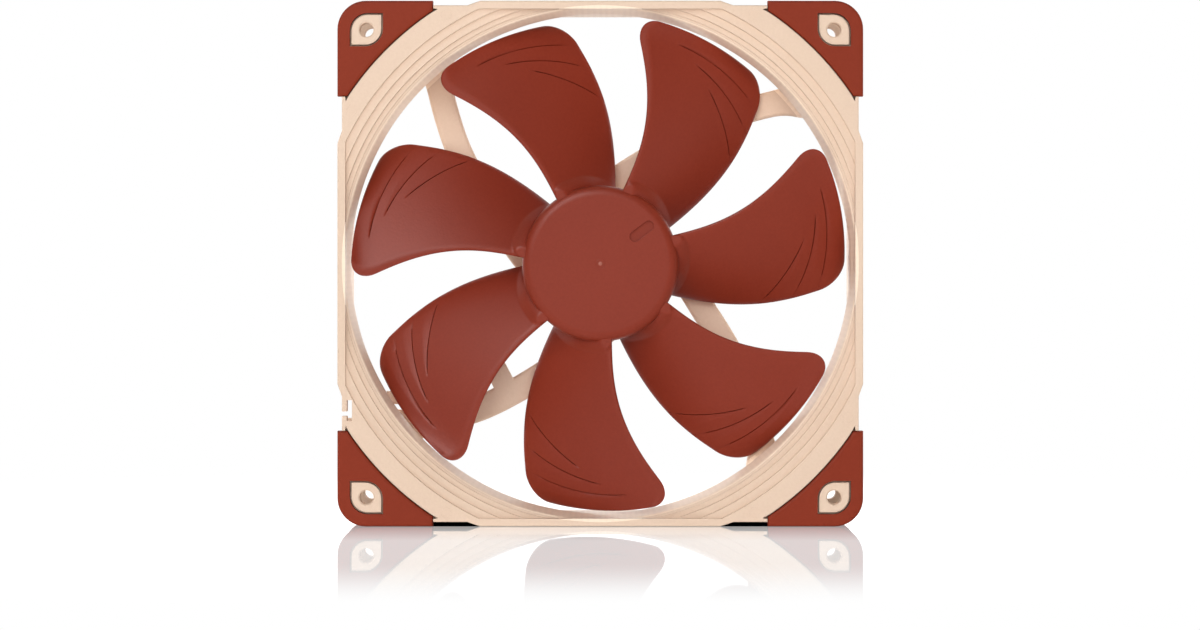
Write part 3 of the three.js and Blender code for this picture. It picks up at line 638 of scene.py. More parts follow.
# Worn edges and painted highlight: a patchy mask of the corners, paled in colour partly as handling
# wear and partly as painted highlight.
tree, given, made = shader_group("Worn edges", {"Width": 0.0003, "Amount": 0.5}, ["Edge"])
bevelled = add(tree, "ShaderNodeBevel", {"Radius": given["Width"]}, samples=3).outputs[0]
flat_way = add(tree, "ShaderNodeNewGeometry").outputs["Normal"]
likeness = measured(tree, "DOT_PRODUCT", bevelled, flat_way)
speckle = ramp(tree, noise(tree, object_place(tree), 260.0), 0.35, 0.6)
patchy = figure(tree, "MULTIPLY", speckle, given["Amount"])
edge = figure(tree, "MULTIPLY", ramp(tree, likeness, 0.995, 0.85), patchy)
tree.links.new(edge, made["Edge"])

# Painted hollow shade: a mask of creases and gaps, whose colour is darkened as painted shade.
tree, given, made = shader_group("Shaded hollows", {"Reach": 0.0009, "Amount": 0.6}, ["Hollow"])
openness = add(
    tree, "ShaderNodeAmbientOcclusion", {"Distance": given["Reach"]}, samples=6
).outputs["AO"]
crease = figure(tree, "MULTIPLY", ramp(tree, openness, 0.5, 0.1), given["Amount"])
tree.links.new(crease, made["Hollow"])

# Dimple rows: the rows of small hollows that line the duct's wall, by angle and depth.
tree, given, made = shader_group(
    "Dimple rows",
    {
        "Round": 264.0, "Row pitch": 0.00125, "Inner": (throat_radius - 0.3) * MM,
        "Outer": (throat_radius + 1.6) * MM,
    },
    ["Hollow", "Wall"],
)
place = object_place(tree)
x, y, z = parts_of(tree, place)
out = from_axis(tree, place)
on_wall = figure(
    tree, "MULTIPLY", figure(tree, "GREATER_THAN", out, given["Inner"]),
    figure(tree, "LESS_THAN", out, given["Outer"]),
)
share = figure(tree, "MULTIPLY", figure(tree, "ARCTAN2", z, x), 1 / (2 * math.pi))
cell = add(
    tree,
    "ShaderNodeCombineXYZ",
    {
        "X": figure(tree, "MULTIPLY", share, given["Round"]),
        "Y": figure(tree, "DIVIDE", y, given["Row pitch"]),
    },
).outputs[0]
from_middle = add(
    tree, "ShaderNodeTexVoronoi", {"Vector": cell, "Scale": 1.0, "Randomness": 0.0},
    voronoi_dimensions="2D",
).outputs["Distance"]
dimple = ramp(tree, from_middle, 0.42, 0.2, soft=True)
tree.links.new(figure(tree, "MULTIPLY", on_wall, dimple), made["Hollow"])
tree.links.new(on_wall, made["Wall"])


def moulded_plastic(name, dark, light, worn_and_highlit_edge, roughness, bump_strength, hollows=0.0, **constants):
    """A moulded plastic: slow tone changes, corners paled partly as wear and partly as painted
    highlight, painted shade in its hollows if asked, and the mould's fine grain.
    """
    material, tree, shader = new_material(name, **constants)
    grain = placed_group(tree, "Moulded grain", Roughness=roughness)
    edge = placed_group(tree, "Worn edges", Amount=0.3)["Edge"]
    tone = mixed(tree, ramp(tree, grain["Tone"], 0.35, 0.65), dark, light)
    # Corners are paled: partly wear, partly painted highlight.
    tone = mixed(tree, edge, tone, worn_and_highlit_edge)
    if hollows:
        # Painted shade: creases and gaps take a quarter of the dark tone.
        shade = placed_group(tree, "Shaded hollows", Amount=hollows)["Hollow"]
        tone = mixed(tree, shade, tone, tuple(0.25 * c for c in dark[:3]) + (1.0,))
    bump = surfaced(
        tree, shader, tone, grain["Roughness"], grain["Height"], bump_strength, 0.00006
    )
    return material, tree, tone, bump


beige_plastic, tree, tone, grain_bump = moulded_plastic(
    "beige glass-filled plastic", linear(221, 194, 171), linear(227, 201, 179),
    linear(236, 214, 194), roughness=0.52, bump_strength=0.35, hollows=0.5, Specular_IOR_Level=0.2,
)
shader = tree.nodes["Principled BSDF"]
rows = placed_group(tree, "Dimple rows")
hollow, wall = rows["Hollow"], rows["Wall"]
# Painted reflection: the duct's wall is paled towards a pinkish white, in place of the light it
# reflects.
tone = mixed(tree, figure(tree, "MULTIPLY", wall, 0.85), tone, linear(255, 232, 208))
# Painted shade: the dimples' colour is darkened a little towards a deeper beige.
dimple_shade = figure(tree, "MULTIPLY", hollow, 0.1)
tree.links.new(mixed(tree, dimple_shade, tone, linear(196, 170, 156)), shader.inputs["Base Color"])
grain_roughness = shader.inputs["Roughness"].links[0].from_socket
polish = figure(tree, "MULTIPLY", wall, -0.1)
tree.links.new(figure(tree, "ADD", grain_roughness, polish), shader.inputs["Roughness"])
dimple_bump = add(
    tree, "ShaderNodeBump",
    {"Height": hollow, "Strength": 0.3, "Distance": 0.00015, "Normal": grain_bump.outputs[0]},
    invert=True,
)
tree.links.new(dimple_bump.outputs[0], shader.inputs["Normal"])


def settled(body, name, material, rides_on, slot, *nodes, sharp=34):
    """Brings a finished piece to metres, smooths it, gives its material and sets it on its body."""
    body.name = name
    body.data.transform(Matrix.Scale(MM, 4))
    body.data.materials.clear()
    body.data.materials.append(material)
    body.data.polygons.foreach_set("material_index", [0] * len(body.data.polygons))
    body.data.polygons.foreach_set("use_smooth", [True] * len(body.data.polygons))
    body.data.set_sharp_from_angle(angle=math.radians(sharp))
    body.modifiers.new("even shading", "WEIGHTED_NORMAL").keep_sharp = True
    baked(body)
    body.data.name = name
    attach(body, rides_on)
    if nodes:
        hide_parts(*nodes)
    return body


settled(moulding, "frame_moulding", beige_plastic, "frame", "frame_plastic", "frame")


# ---------------------------------------------------------------- impeller
# The impeller is one moulding in red-brown plastic: a hub like a cup, and seven swept blades.
# Each blade has three wedge-shaped channels cut into its front, from the trailing edge, and
# leaves the hub through a soft shoulder. The motor's yoke is pressed into the hub.

blade_count = 7
hub_radius = base_radius - 0.15
hub_front = -face + 0.8
hub_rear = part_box("rotor_yoke")[1].y / MM + 0.3
tip_radius = throat_radius - 0.75
pad_front = cad_low.y / MM

span_marks = [0.0, 0.25, 0.5, 0.75, 1.0]
leading_fit = np.polyfit(span_marks, [124.3, 122.6, 124.9, 129.2, 133.5], 4)
trailing_fit = np.polyfit(span_marks, [78.6, 83.6, 88.3, 93.6, 98.6], 4)
leading_depth = (pad_front + 3.2, pad_front + 2.0)
trailing_depth = (hub_rear - 0.7, strut_front - 1.8)
blade_camber = (0.25, 0.12)
leading_thickness = (2.5, 1.6)
trailing_thickness = (2.0, 1.25)
leading_corner, trailing_corner = 6.6, 6.3
root_fillet = 1.6
shoulder_reach, shoulder_height = 3.3, 1.7


def corner_inset(radius, rounding):
    into = np.clip((radius - (tip_radius - rounding)) / rounding, 0, 1)
    return rounding * (1 - np.sqrt(1 - into * into))


def blade_edges(radius):
    """The angles of the leading and trailing edges at a radius, their tip corners rounded off."""
    share = np.clip((radius - hub_radius) / (tip_radius - hub_radius), 0, 1)
    lead = np.polyval(leading_fit, share)
    lead = lead - np.degrees(corner_inset(radius, leading_corner) / radius)
    trail = np.polyval(trailing_fit, share)
    trail = trail + np.degrees(corner_inset(radius, trailing_corner) / radius)
    return lead, trail, share


def rounded_off(distance, radius):
    """0 at an edge, rising to 1 as a quarter circle does."""
    return np.sqrt(1 - (1 - np.clip(distance / radius, 0, 1)) ** 2)


def blade_depth(chord, radius, on_front):
    """The depth of a blade's face: chord runs 0 to 1 from the leading to the trailing edge."""
    lead, trail, share = blade_edges(radius)
    width = np.radians(lead - trail) * radius

    def along(pair):
        return pair[0] + (pair[1] - pair[0]) * share

    rise = chord - along(blade_camber) * chord * (1 - chord)
    middle = along(leading_depth) * (1 - rise) + along(trailing_depth) * rise
    thick = along(leading_thickness) * (1 - chord) + along(trailing_thickness) * chord
    to_edge = np.minimum(chord, 1 - chord) * width
    thick = thick * rounded_off(to_edge, 0.75 * thick) * rounded_off(tip_radius - radius, 0.7)
    out = np.clip(radius - hub_radius, 0, None)
    fillet = root_fillet * (1 - rounded_off(out, root_fillet)) * np.sqrt(np.clip(to_edge / 3, 0, 1))
    if on_front:
        reach = shoulder_reach * np.clip(chord * width / 2.5, 0, 1) ** 0.4
        reach = 0.05 + reach * np.clip((1 - chord) / 0.5, 0, 1) ** 0.5
        swell = shoulder_height * np.clip(1 - (out / reach) ** 2, 0, 1) ** 1.2
        swell = swell * np.clip(chord * width / 1.2, 0, 1) ** 0.5 * np.clip((1 - chord) / 0.4, 0, 1)
        y = middle - thick / 2 - np.maximum(fillet, swell)
        return np.maximum(y, np.minimum(hub_front + 1.0, middle))
    y = middle + thick / 2 + 0.7 * fillet
    y = np.minimum(y, np.maximum(hub_rear - 0.15, middle))
    return np.where(out < 3, np.minimum(y, trailing_depth[1] + 0.4), y)


def blade_surface(chord, radius, on_front):
    lead, trail, _ = blade_edges(radius)
    angle = np.radians(lead + (trail - lead) * chord)
    y = blade_depth(chord, radius, on_front)
    return np.stack([radius * np.cos(angle), y, radius * np.sin(angle)], -1)


near_edge = np.array([0, 0.0015, 0.005, 0.011, 0.02, 0.032])
columns = np.concatenate([near_edge, np.linspace(0.055, 0.945, 36), 1 - near_edge[::-1]])
rows = np.concatenate(
    [
        np.linspace(hub_radius - 0.9, hub_radius, 2, endpoint=False),
        np.linspace(hub_radius, hub_radius + 4.2, 16, endpoint=False),
        np.linspace(hub_radius + 4.2, tip_radius - 3, 44, endpoint=False),
        tip_radius - 3 * (1 - np.sin(np.linspace(0, math.pi / 2, 15))),
    ]
)
chord_grid, radius_grid = np.meshgrid(columns, rows)
skins = [blade_surface(chord_grid, radius_grid, front).reshape(-1, 3) for front in (True, False)]
wide, tall = len(columns), len(rows)
blade_faces = []
for skin in (0, 1):
    for i in range(tall - 1):
        for j in range(wide - 1):
            a = skin * wide * tall + i * wide + j
            quad = (a, a + 1, a + wide + 1, a + wide)
            blade_faces.append(quad if skin else quad[::-1])
blade_faces.append(tuple(range(wide)) + tuple(wide * tall + j for j in range(wide))[::-1])
blade = solid("blade", np.concatenate(skins), blade_faces)

# Each channel: its angles from the trailing edge to its point, and the radii there of its
# crisp inner edge and of its soft outer edge. A wedge is swept along it and cut away.
channels = [
    ((88.5, 99.4, 110.3), (44.0, 49.7, 55.4), (48.5, 52.3, 56.0)),
    ((92.0, 104.1, 116.2), (52.4, 56.3, 59.2), (56.3, 58.6, 59.8)),
    ((95.5, 108.9, 122.3), (59.1, 61.3, 62.15), (63.2, 63.5, 62.7)),
]
channel_depth, crease_depth, crease_width, deepest_cut = 0.3, 0.95, 0.3, 0.55
wedges = []
for angles, crisp, soft in channels:
    crisp_fit, soft_fit = np.polyfit(angles, crisp, 2), np.polyfit(angles, soft, 2)
    sections = []
    for degrees in np.concatenate([[angles[0] - 7], np.linspace(angles[0] - 4, angles[2], 60)]):
        inner = np.polyval(crisp_fit, degrees)
        outer = max(np.polyval(soft_fit, degrees), inner + crease_width + 0.25)
        lead, trail, _ = blade_edges(np.array(inner))
        left = math.radians(angles[2] - degrees) * inner
        deep = min(1.0, left / 9.0) ** 0.6
        creased = min(1.0, left / 2.5)
        creased *= 0.45 + 0.55 * min(1.0, max(0.0, math.radians(degrees - trail) * inner / 2.5))
        stations = (
            (inner - 0.02, -0.8), (inner, 0.0),
            (inner - 0.16 * creased, creased * crease_depth - 0.01),
            (inner + crease_width, deep * channel_depth - 0.01),
            (inner + crease_width + 0.45 * (outer - inner - crease_width), deep * 0.12 - 0.01),
            (outer, -0.03), (outer + 0.02, -0.8),
        )
        section = []
        for radius, drop in stations:
            edges = blade_edges(np.array(radius))
            chord = np.clip((edges[0] - degrees) / (edges[0] - edges[1]), 0, 1)
            skin = float(blade_depth(chord, np.array(radius), True))
            back = float(blade_depth(chord, np.array(radius), False))
            drop = min(drop, deepest_cut * (back - skin) - 0.01)
            a = math.radians(degrees)
            section.append((radius * math.cos(a), skin + drop, radius * math.sin(a)))
        sections.append(section)
    wedges.append(lofted("wedge", sections))
blade = carved(blade, *wedges)

# Copies about the spin axis: a node tree that repeats a piece evenly round the fan's centre.
copies_tree = bpy.data.node_groups.new("Copies about the spin axis", "GeometryNodeTree")
for label, kind, way in (
    ("Geometry", "Geometry", "INPUT"), ("Count", "Int", "INPUT"),
    ("Material", "Material", "INPUT"), ("Geometry", "Geometry", "OUTPUT"),
):
    copies_tree.interface.new_socket(label, in_out=way, socket_type="NodeSocket" + kind)
given = copies_tree.nodes.new("NodeGroupInput").outputs
stations = add(copies_tree, "GeometryNodeMeshLine", {"Count": given["Count"], "Offset": (0, 0, 0)})
turn = figure(
    copies_tree, "MULTIPLY", add(copies_tree, "GeometryNodeInputIndex").outputs[0],
    figure(copies_tree, "DIVIDE", -2 * math.pi, given["Count"]),
)
copies = add(
    copies_tree,
    "GeometryNodeInstanceOnPoints",
    {
        "Points": stations.outputs[0], "Instance": given["Geometry"],
        "Rotation": add(copies_tree, "ShaderNodeCombineXYZ", {"Y": turn}).outputs[0],
    },
)
real = add(copies_tree, "GeometryNodeRealizeInstances", {"Geometry": copies.outputs[0]})
finished = add(
    copies_tree, "GeometryNodeSetMaterial",
    {"Geometry": real.outputs[0], "Material": given["Material"]},
)
copies_tree.links.new(
    finished.outputs[0], copies_tree.nodes.new("NodeGroupOutput").inputs["Geometry"]
)


def run_tree(body, tree, **values):
    """Runs a node tree on a body with its inputs set by identifier, and keeps the plain mesh."""
    step = body.modifiers.new(tree.name, "NODES")
    step.node_group = tree
    for item in tree.interface.items_tree:
        label = item.name.replace(" ", "_")
        if item.in_out == "INPUT" and label in values:
            step[item.identifier] = values[label]
    return baked(body)


red_plastic, tree, tone, _ = moulded_plastic(
    "red-brown impeller plastic", linear(127, 43, 25), linear(134, 48, 29), linear(145, 61, 43),
    roughness=0.46, bump_strength=0.35, hollows=0.8, Specular_IOR_Level=0.22,
)
shader = tree.nodes["Principled BSDF"]
# Painted highlight: a lighter patch on the gate dot in the hub's middle.
gate = measured(tree, "DISTANCE", object_place(tree), (0.0, hub_front * MM, 0.0))
painted_gate_highlight = ramp(tree, gate, 0.0007, 0.0003, 0.0, 0.45, soft=True)
tree.links.new(mixed(tree, painted_gate_highlight, tone, linear(196, 132, 116)), shader.inputs["Base Color"])
blades = run_tree(blade, copies_tree, Count=blade_count, Material=red_plastic)

hub_bore = hub_radius - 1.65
hub_inner = hub_front + 1.8
collar_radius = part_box("shaft_insert")[1].x / MM + 0.1
collar_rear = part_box("shaft_insert")[1].y / MM
crown = softened([(0.01, hub_front), (hub_radius, hub_front), (hub_radius, hub_rear)], 2.8, 12)
skirt = softened(
    [
        (hub_radius, hub_rear - 2), (hub_radius, hub_rear), (hub_bore, hub_rear),
        (hub_bore, hub_inner), (collar_radius + 1.7, hub_inner),
        (collar_radius + 1.7, collar_rear), (collar_radius, collar_rear),
        (collar_radius, hub_inner), (0.01, hub_inner),
    ],
    0.3,
)
hub = turned("hub", [(0, hub_front)] + crown[1:-1] + skirt[1:-1] + [(0, hub_inner)], 192)
impeller = fused(hub, blades)
motor_room = turned(
    "motor_room",
    [
        (collar_radius + 1.7, hub_inner + 0.01), (hub_bore, hub_inner + 0.01),
        (hub_bore, hub_rear + 3), (collar_radius + 1.7, hub_rear + 3),
    ],
    192,
)
straight, pocket_radius, pocket_out = 2.3, 1.45, 14
pocket_outline = arc(straight, 0, pocket_radius, -90, 90, 12)
pocket_outline += arc(-straight, 0, pocket_radius, 90, 270, 12)
pocket_turn = math.radians(38)
pocket_outline = [
    (
        (x + pocket_out) * math.cos(pocket_turn) - z * math.sin(pocket_turn),
        (x + pocket_out) * math.sin(pocket_turn) + z * math.cos(pocket_turn),
    )
    for x, z in pocket_outline
]
pocket = prism("pocket", pocket_outline, hub_front - 1, hub_front + 0.8, 0, 0.15)
gate_ring = turned(
    "gate_ring",
    [
        (1.15, hub_front - 1), (1.4, hub_front - 1), (1.4, hub_front + 0.02),
        (1.27, hub_front + 0.07), (1.15, hub_front + 0.02),
    ],
    64,
)
impeller = carved(impeller, motor_room, pocket, gate_ring)
dot_shape = ((0, -0.22), (0.22, -0.2), (0.42, -0.1), (0.52, 0.2), (0, 0.2))
gate_dot = turned("gate_dot", [(radius, hub_front + y) for radius, y in dot_shape], 32)
impeller = fused(impeller, gate_dot)
settled(
    impeller, "impeller_moulding", red_plastic, "rotor", "impeller_plastic", "impeller", sharp=40
)


# ---------------------------------------------------------------- corner pads
# Eight pads of brown silicone sit over the flanges' corners, four on each face, and keep the
# fan's shake from the case. Each is moulded: a plate with a window, and a skirt round it.

pad_plate, pad_round = 2.0, 0.9
silicone = moulded_plastic(
    "brown silicone", linear(130, 46, 25), linear(136, 50, 29), linear(149, 66, 47),
    roughness=0.66, bump_strength=0.25, hollows=0.5, Specular_IOR_Level=0.14,
)[0]
pad = prism(
    "pad", corner_outline(pad_arc_radius + 0.35, side, 7.6, pad_end), pad_front, -face + flange,
    pad_round, 0.25,
)
pad_hollow = prism(
    "pad_hollow", corner_outline(pad_arc_radius - 6, side - side_inset + 0.15, 6.3, pad_end - 6),
    pad_front + pad_plate, -face + flange + 1,
)
pad_window = prism("pad_window", eye_outline(8.85, 4.75), pad_front - 1, pad_front + pad_plate + 1)
pad = carved(pad, pad_hollow, pad_window)
for k, corner in enumerate(("top_right", "top_left", "bottom_left", "bottom_right")):
    for face_name, mirrored in (("front", False), ("rear", True)):
        node = f"{face_name}_pad_{corner}"
        copy = turned_copy(pad, 90 * k, mirrored)
        settled(copy, node + "_silicone", silicone, "frame", "pad_silicone", node)
bpy.data.objects.remove(pad)


# ---------------------------------------------------------------- rear label
# A round film label, printed plain with a dark border, is glued into the shallow recess of
# the motor's base, and closes the bearing's end.

label_front, label_rear = (p.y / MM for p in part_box("rear_label"))
label_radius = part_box("rear_label")[1].x / MM
film, tree, shader = new_material("blank label film", Specular_IOR_Level=0.5)
place = object_place(tree)
border = ramp(tree, from_axis(tree, place), (label_radius - 2.3) * MM, (label_radius - 2.1) * MM)
paper = noise(tree, place, 900.0, 3.0)
tint = mixed(tree, paper, linear(210, 200, 186), linear(218, 209, 196))
tree.links.new(mixed(tree, border, tint, linear(120, 56, 42)), shader.inputs["Base Color"])
tree.links.new(ramp(tree, paper, 0.3, 0.7, 0.28, 0.42), shader.inputs["Roughness"])
label_outline = [(0, label_front), (label_radius, label_front)]
label_outline += [(label_radius, label_rear), (0, label_rear)]
label = turned("label", softened(label_outline, 0.06), 160)
settled(label, "rear_label_film", film, "frame", "label", "rear_label")


# ---------------------------------------------------------------- metal motor parts
# The yoke is drawn steel, the shaft ground steel; the bush in the hub, the bearing's tube and
# its cap are turned brass; the sleeve is sintered bronze. All are pressed into place.

tree, given, made = shader_group(
    "Turning marks", {"Mark scale": 2600.0, "Roughness": 0.28}, ["Height", "Roughness", "Stain"]
)
place = object_place(tree)
along = parts_of(tree, place)[1]
out_and_along = {"X": from_axis(tree, place), "Y": along}
marks_place = add(tree, "ShaderNodeCombineXYZ", out_and_along).outputs[0]
lines = noise(tree, marks_place, given["Mark scale"])
cloud = noise(tree, place, 160.0)
rough = figure(tree, "MULTIPLY", lines, 0.12)
tree.links.new(lines, made["Height"])
tree.links.new(figure(tree, "ADD", given["Roughness"], rough), made["Roughness"])
tree.links.new(ramp(tree, cloud, 0.4, 0.75), made["Stain"])


def turned_metal(name, clean, stained, roughness):
    """A metal turned on a lathe, with fine marks round its axis, stains and bright edges."""
    material, tree, shader = new_material(name, Metallic=1.0)
    marks = placed_group(tree, "Turning marks", Roughness=roughness)
    edge = placed_group(tree, "Worn edges", Width=0.0002, Amount=0.5)["Edge"]
    bright = tuple(min(1.0, 1.25 * c) for c in clean[:3]) + (1.0,)
    tone = mixed(tree, edge, mixed(tree, marks["Stain"], clean, stained), bright)
    surfaced(tree, shader, tone, marks["Roughness"], marks["Height"], 0.25, 0.00003)
    return material


def refinished(material, *nodes):
    """Gives CAD nodes that keep their own shape their real finish."""
    for node in nodes:
        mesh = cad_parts[node].data
        mesh.materials.clear()
        mesh.materials.append(material)


steel = turned_metal("bright steel", (0.56, 0.56, 0.57, 1), (0.46, 0.45, 0.44, 1), 0.24)
brass = turned_metal("turned brass", (0.78, 0.58, 0.25, 1), (0.62, 0.43, 0.18, 1), 0.26)
refinished(steel, "rotor_yoke", "shaft", "winding_pin_1", "winding_pin_2", "winding_pin_3")
refinished(brass, "shaft_insert", "bearing_tube", "bearing_end_cap")

bronze, tree, shader = new_material("sintered bronze", Metallic=1.0)
pores = spots(tree, object_place(tree), 5200.0)
tone = mixed(tree, ramp(tree, pores, 0.28, 0.12), (0.58, 0.36, 0.19, 1), (0.12, 0.07, 0.04, 1))
surfaced(tree, shader, tone, ramp(tree, pores, 0.1, 0.5, 0.65, 0.42), pores, 0.5, 0.00004)
refinished(bronze, "bearing_sleeve")


# ---------------------------------------------------------------- magnets and stator core
# The rotor's ring magnet and the small axial magnet are pressed ferrite. The core is a stack
# of punched silicon-steel sheets, half a millimetre each, whose edges show all round it.

ferrite, tree, shader = new_material("pressed ferrite", Specular_IOR_Level=0.6)
grain = placed_group(tree, "Moulded grain", Grain_scale=2600.0, Roughness=0.55, Spread=0.2)
chips = placed_group(tree, "Worn edges", Width=0.0003, Amount=0.8)["Edge"]
tone = mixed(tree, grain["Tone"], (0.028, 0.028, 0.03, 1), (0.06, 0.058, 0.06, 1))
tone = mixed(tree, chips, tone, (0.11, 0.1, 0.1, 1))
surfaced(tree, shader, tone, grain["Roughness"], grain["Height"], 0.4, 0.00005)
refinished(ferrite, "rotor_magnet", "axial_magnet")

sheet_thickness = 0.0005
laminated, tree, shader = new_material("stacked silicon steel", Metallic=0.9)
place = object_place(tree)
along = parts_of(tree, place)[1]
sheet_share = figure(tree, "FRACT", figure(tree, "DIVIDE", along, sheet_thickness))
seam = ramp(tree, figure(tree, "PINGPONG", sheet_share, 0.5), 0.12, 0.02)
burnish = noise(tree, place, 420.0, 4.0)
tone = mixed(tree, burnish, (0.30, 0.30, 0.31, 1), (0.42, 0.42, 0.42, 1))
tone = mixed(tree, seam, tone, (0.07, 0.06, 0.05, 1))
rough = ramp(tree, burnish, 0.3, 0.7, 0.34, 0.5)
surfaced(tree, shader, tone, rough, seam, 0.6, 0.0001, invert=True)
refinished(laminated, "stator_core")


# ---------------------------------------------------------------- insulators and nylon parts
# Two moulded insulators clip over the core from either end. The oil seal, the thrust pad and
# the clip that keeps the shaft in are small white nylon mouldings.

white_plastic = moulded_plastic(
    "white insulator plastic", linear(206, 204, 196), linear(214, 212, 205), linear(228, 227, 222),
    roughness=0.42, bump_strength=0.2,
)[0]
nylon = moulded_plastic(
    "natural nylon", linear(216, 211, 194), linear(224, 220, 206), linear(234, 231, 222),
    roughness=0.34, bump_strength=0.15, Subsurface_Weight=0.1,
)[0]
refinished(white_plastic, "insulator_front", "insulator_rear")
refinished(nylon, "shaft_clip", "oil_seal", "thrust_pad")


# ---------------------------------------------------------------- coils
# Four coils of enamelled copper wire are wound on the insulators' arms, turn beside turn,
# and their ends are wrapped on the winding pins.

copper, tree, shader = new_material(
    "enamelled copper wire", Metallic=1.0, Coat_Weight=0.6, Coat_Roughness=0.12
)
wire_pitch = 0.0003
place = object_place(tree)
streaks = noise(tree, place, 700.0)
tone = mixed(tree, streaks, (0.62, 0.20, 0.07, 1), (0.80, 0.34, 0.14, 1))
x, y, z = parts_of(tree, place)
reach_out = figure(tree, "MAXIMUM", figure(tree, "ABSOLUTE", x), figure(tree, "ABSOLUTE", z))
turns = figure(tree, "PINGPONG", figure(tree, "DIVIDE", reach_out, wire_pitch), 0.5)
surfaced(tree, shader, tone, ramp(tree, streaks, 0.3, 0.7, 0.22, 0.36), turns, 0.9, 0.00012)
refinished(copper, "coil_1", "coil_2", "coil_3", "coil_4")


# ---------------------------------------------------------------- circuit board
# The drive board lies under the stator: green-masked glass epoxy, with a driver chip, a Hall
# sensor, a diode, resistors and capacitors soldered to it.

board, tree, shader = new_material("green solder mask", Coat_Weight=0.3, Coat_Roughness=0.2)
place = object_place(tree)
upright = add(tree, "ShaderNodeMapping", {"Vector": place, "Rotation": (math.pi / 2, 0, 0)})
tracks = add(
    tree,
    "ShaderNodeTexBrick",
    {
        "Vector": upright.outputs[0], "Scale": 420.0, "Mortar Size": 0.035, "Color1": (0, 0, 0, 1),
        "Color2": (0, 0, 0, 1), "Mortar": (1, 1, 1, 1),
    },
).outputs["Fac"]
weave = noise(tree, place, 1500.0)
tone = mixed(tree, weave, (0.008, 0.07, 0.028, 1), (0.012, 0.095, 0.04, 1))
tone = mixed(tree, tracks, tone, (0.03, 0.16, 0.07, 1))
surfaced(tree, shader, tone, ramp(tree, weave, 0.3, 0.7, 0.3, 0.42), tracks, 0.4, 0.00004)
refinished(board, "circuit_board")

black_resin = moulded_plastic(
    "black chip resin", (0.012, 0.012, 0.013, 1), (0.022, 0.022, 0.023, 1), (0.05, 0.05, 0.05, 1),
    roughness=0.5, bump_strength=0.3,
)[0]
refinished(black_resin, "driver_chip", "hall_sensor", "resistor_1", "resistor_2", "supply_diode")

ceramic, tree, shader = new_material("tan ceramic with tinned ends")
speck = noise(tree, object_place(tree), 2400.0, 3.0)
tree.links.new(
    mixed(tree, speck, linear(150, 116, 84), linear(172, 138, 104)), shader.inputs["Base Color"]
)
tree.links.new(ramp(tree, speck, 0.3, 0.7, 0.35, 0.5), shader.inputs["Roughness"])
refinished(ceramic, "capacitor_1", "capacitor_2")


# ---------------------------------------------------------------- floor, light and camera
# The fan stands on a white glossy table before a white backdrop, in plain soft studio light:
# a key from above left, a front fill, a sheen that only glosses show, and two rear side lights.

scene = bpy.context.scene
floor_z = cad_low.z


def stage_sheet(name, corners, material):
    mesh = bpy.data.meshes.new(name)
    mesh.from_pydata(corners, [], [(0, 1, 2, 3)])
    mesh.materials.append(material)
    placed(name, mesh)


def stage_material(name):
    material = bpy.data.materials.new(name)
    material.use_nodes = True
    material.node_tree.nodes.clear()
    tree = material.node_tree
    return material, tree, add(tree, "ShaderNodeOutputMaterial").inputs[0]


table_white, tree, surface = stage_material("glossy white table")
x, y, z = parts_of(tree, object_place(tree))
aside = figure(tree, "SUBTRACT", figure(tree, "ABSOLUTE", x), cad_high.x)
before = figure(tree, "SUBTRACT", figure(tree, "ABSOLUTE", y), cad_high.y)
outside = add(
    tree, "ShaderNodeCombineXYZ",
    {"X": figure(tree, "MAXIMUM", aside, 0.0), "Y": figure(tree, "MAXIMUM", before, 0.0)},
).outputs[0]
away = measured(tree, "LENGTH", outside)
# Painted shadow: the table is black under the fan's footprint, short of its sides by an inset, with
# its glow and its mirror turned off there; clear is the share outside this painted shadow.
painted_shadow_inset = 0.009
past_painted_shadow_side = figure(tree, "ADD", aside, painted_shadow_inset)
clear = ramp(tree, figure(tree, "MAXIMUM", past_painted_shadow_side, before), -0.0015, 0.0)
mirror_share = figure(
    tree, "ADD", ramp(tree, away, 0.205, 0.105, 0.0, 0.36, soft=True),
    ramp(tree, away, 0.045, 0.0, 0.0, 0.34),
)
mirror_share = figure(tree, "MULTIPLY", mirror_share, clear)
paper_white = add(tree, "ShaderNodeEmission", {"Color": (1, 1, 1, 1), "Strength": clear})
mirror = add(tree, "ShaderNodeBsdfGlossy", {"Color": (1, 1, 1, 1), "Roughness": 0.03})
both = add(
    tree, "ShaderNodeMixShader", {0: mirror_share, 1: paper_white.outputs[0], 2: mirror.outputs[0]}
)
tree.links.new(both.outputs[0], surface)
stage_sheet(
    "table_top", [(-6, -3, floor_z), (6, -3, floor_z), (6, 3, floor_z), (-6, 3, floor_z)],
    table_white,
)

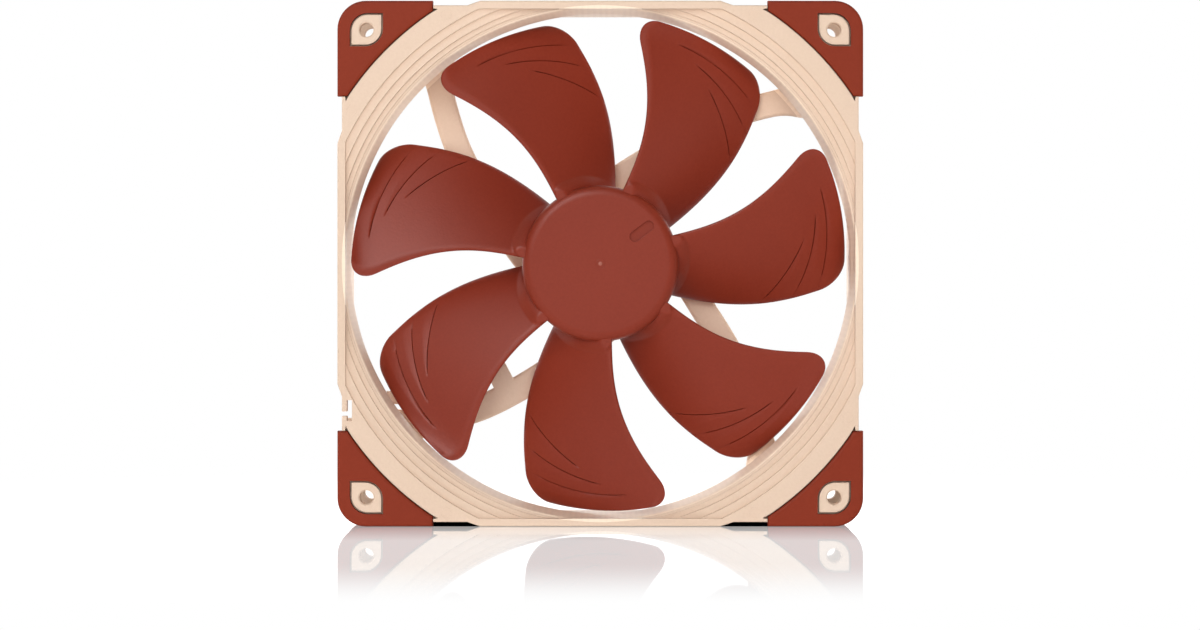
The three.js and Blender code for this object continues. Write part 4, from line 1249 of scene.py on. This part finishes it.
paper, tree, surface = stage_material("white backdrop")
bright = add(tree, "ShaderNodeLightPath").outputs["Is Glossy Ray"]
glow = figure(tree, "ADD", figure(tree, "MULTIPLY", bright, 1.1), 1.0)
tree.links.new(add(tree, "ShaderNodeEmission", {"Strength": glow}).outputs[0], surface)
stage_sheet("backdrop", [(-6, 3, -1), (6, 3, -1), (6, 3, 5), (-6, 3, 5)], paper)

world = bpy.data.worlds.new("white studio")
scene.world = world
world.use_nodes = True
tree = world.node_tree
tree.nodes.clear()
up = parts_of(tree, add(tree, "ShaderNodeTexCoord").outputs["Generated"])[2]
dim = ramp(tree, up, -0.6, 0.8, 0.07, 0.25)
strength = add(
    tree, "ShaderNodeMix",
    {0: add(tree, "ShaderNodeLightPath").outputs["Is Camera Ray"], 2: dim, 3: 1.0},
).outputs[0]
tree.links.new(
    add(tree, "ShaderNodeBackground", {"Color": (1, 1, 1, 1), "Strength": strength}).outputs[0],
    add(tree, "ShaderNodeOutputWorld").inputs[0],
)


def soft_light(name, place_at, size, power, mirrored=True, lit=True):
    lamp = bpy.data.lights.new(name, "AREA")
    lamp.shape, lamp.size, lamp.energy = "SQUARE", size, power
    holder = placed(name, lamp)
    holder.location = place_at
    holder.rotation_euler = Vector(place_at).to_track_quat("Z", "Y").to_euler()
    holder.visible_glossy = mirrored
    holder.visible_diffuse = lit


soft_light("key softbox, above left", (-0.35, -1.3, 0.6), 0.8, 7.6, mirrored=False)
soft_light("front fill", (0.1, -1.6, 0.1), 1.0, 12.0, mirrored=False)
soft_light("sheen softbox", (-0.5, -1.0, 0.85), 0.7, 17.0, lit=False)
for across in (-1.0, 1.0):
    soft_light("rear side light", (across, 0.42, 0.1), 0.5, 5.0, mirrored=False)

camera = bpy.data.cameras.new("camera")
camera.lens, camera.sensor_width = 101.5, 36
camera.shift_x, camera.shift_y = -0.00025, -0.0428
camera.dof.use_dof = False
holder = placed("camera", camera)
holder.location = (0, cad_low.y - 0.9, 0)
holder.rotation_euler = (math.pi / 2, 0, 0)
scene.camera = holder
scene.view_settings.view_transform = "Standard"
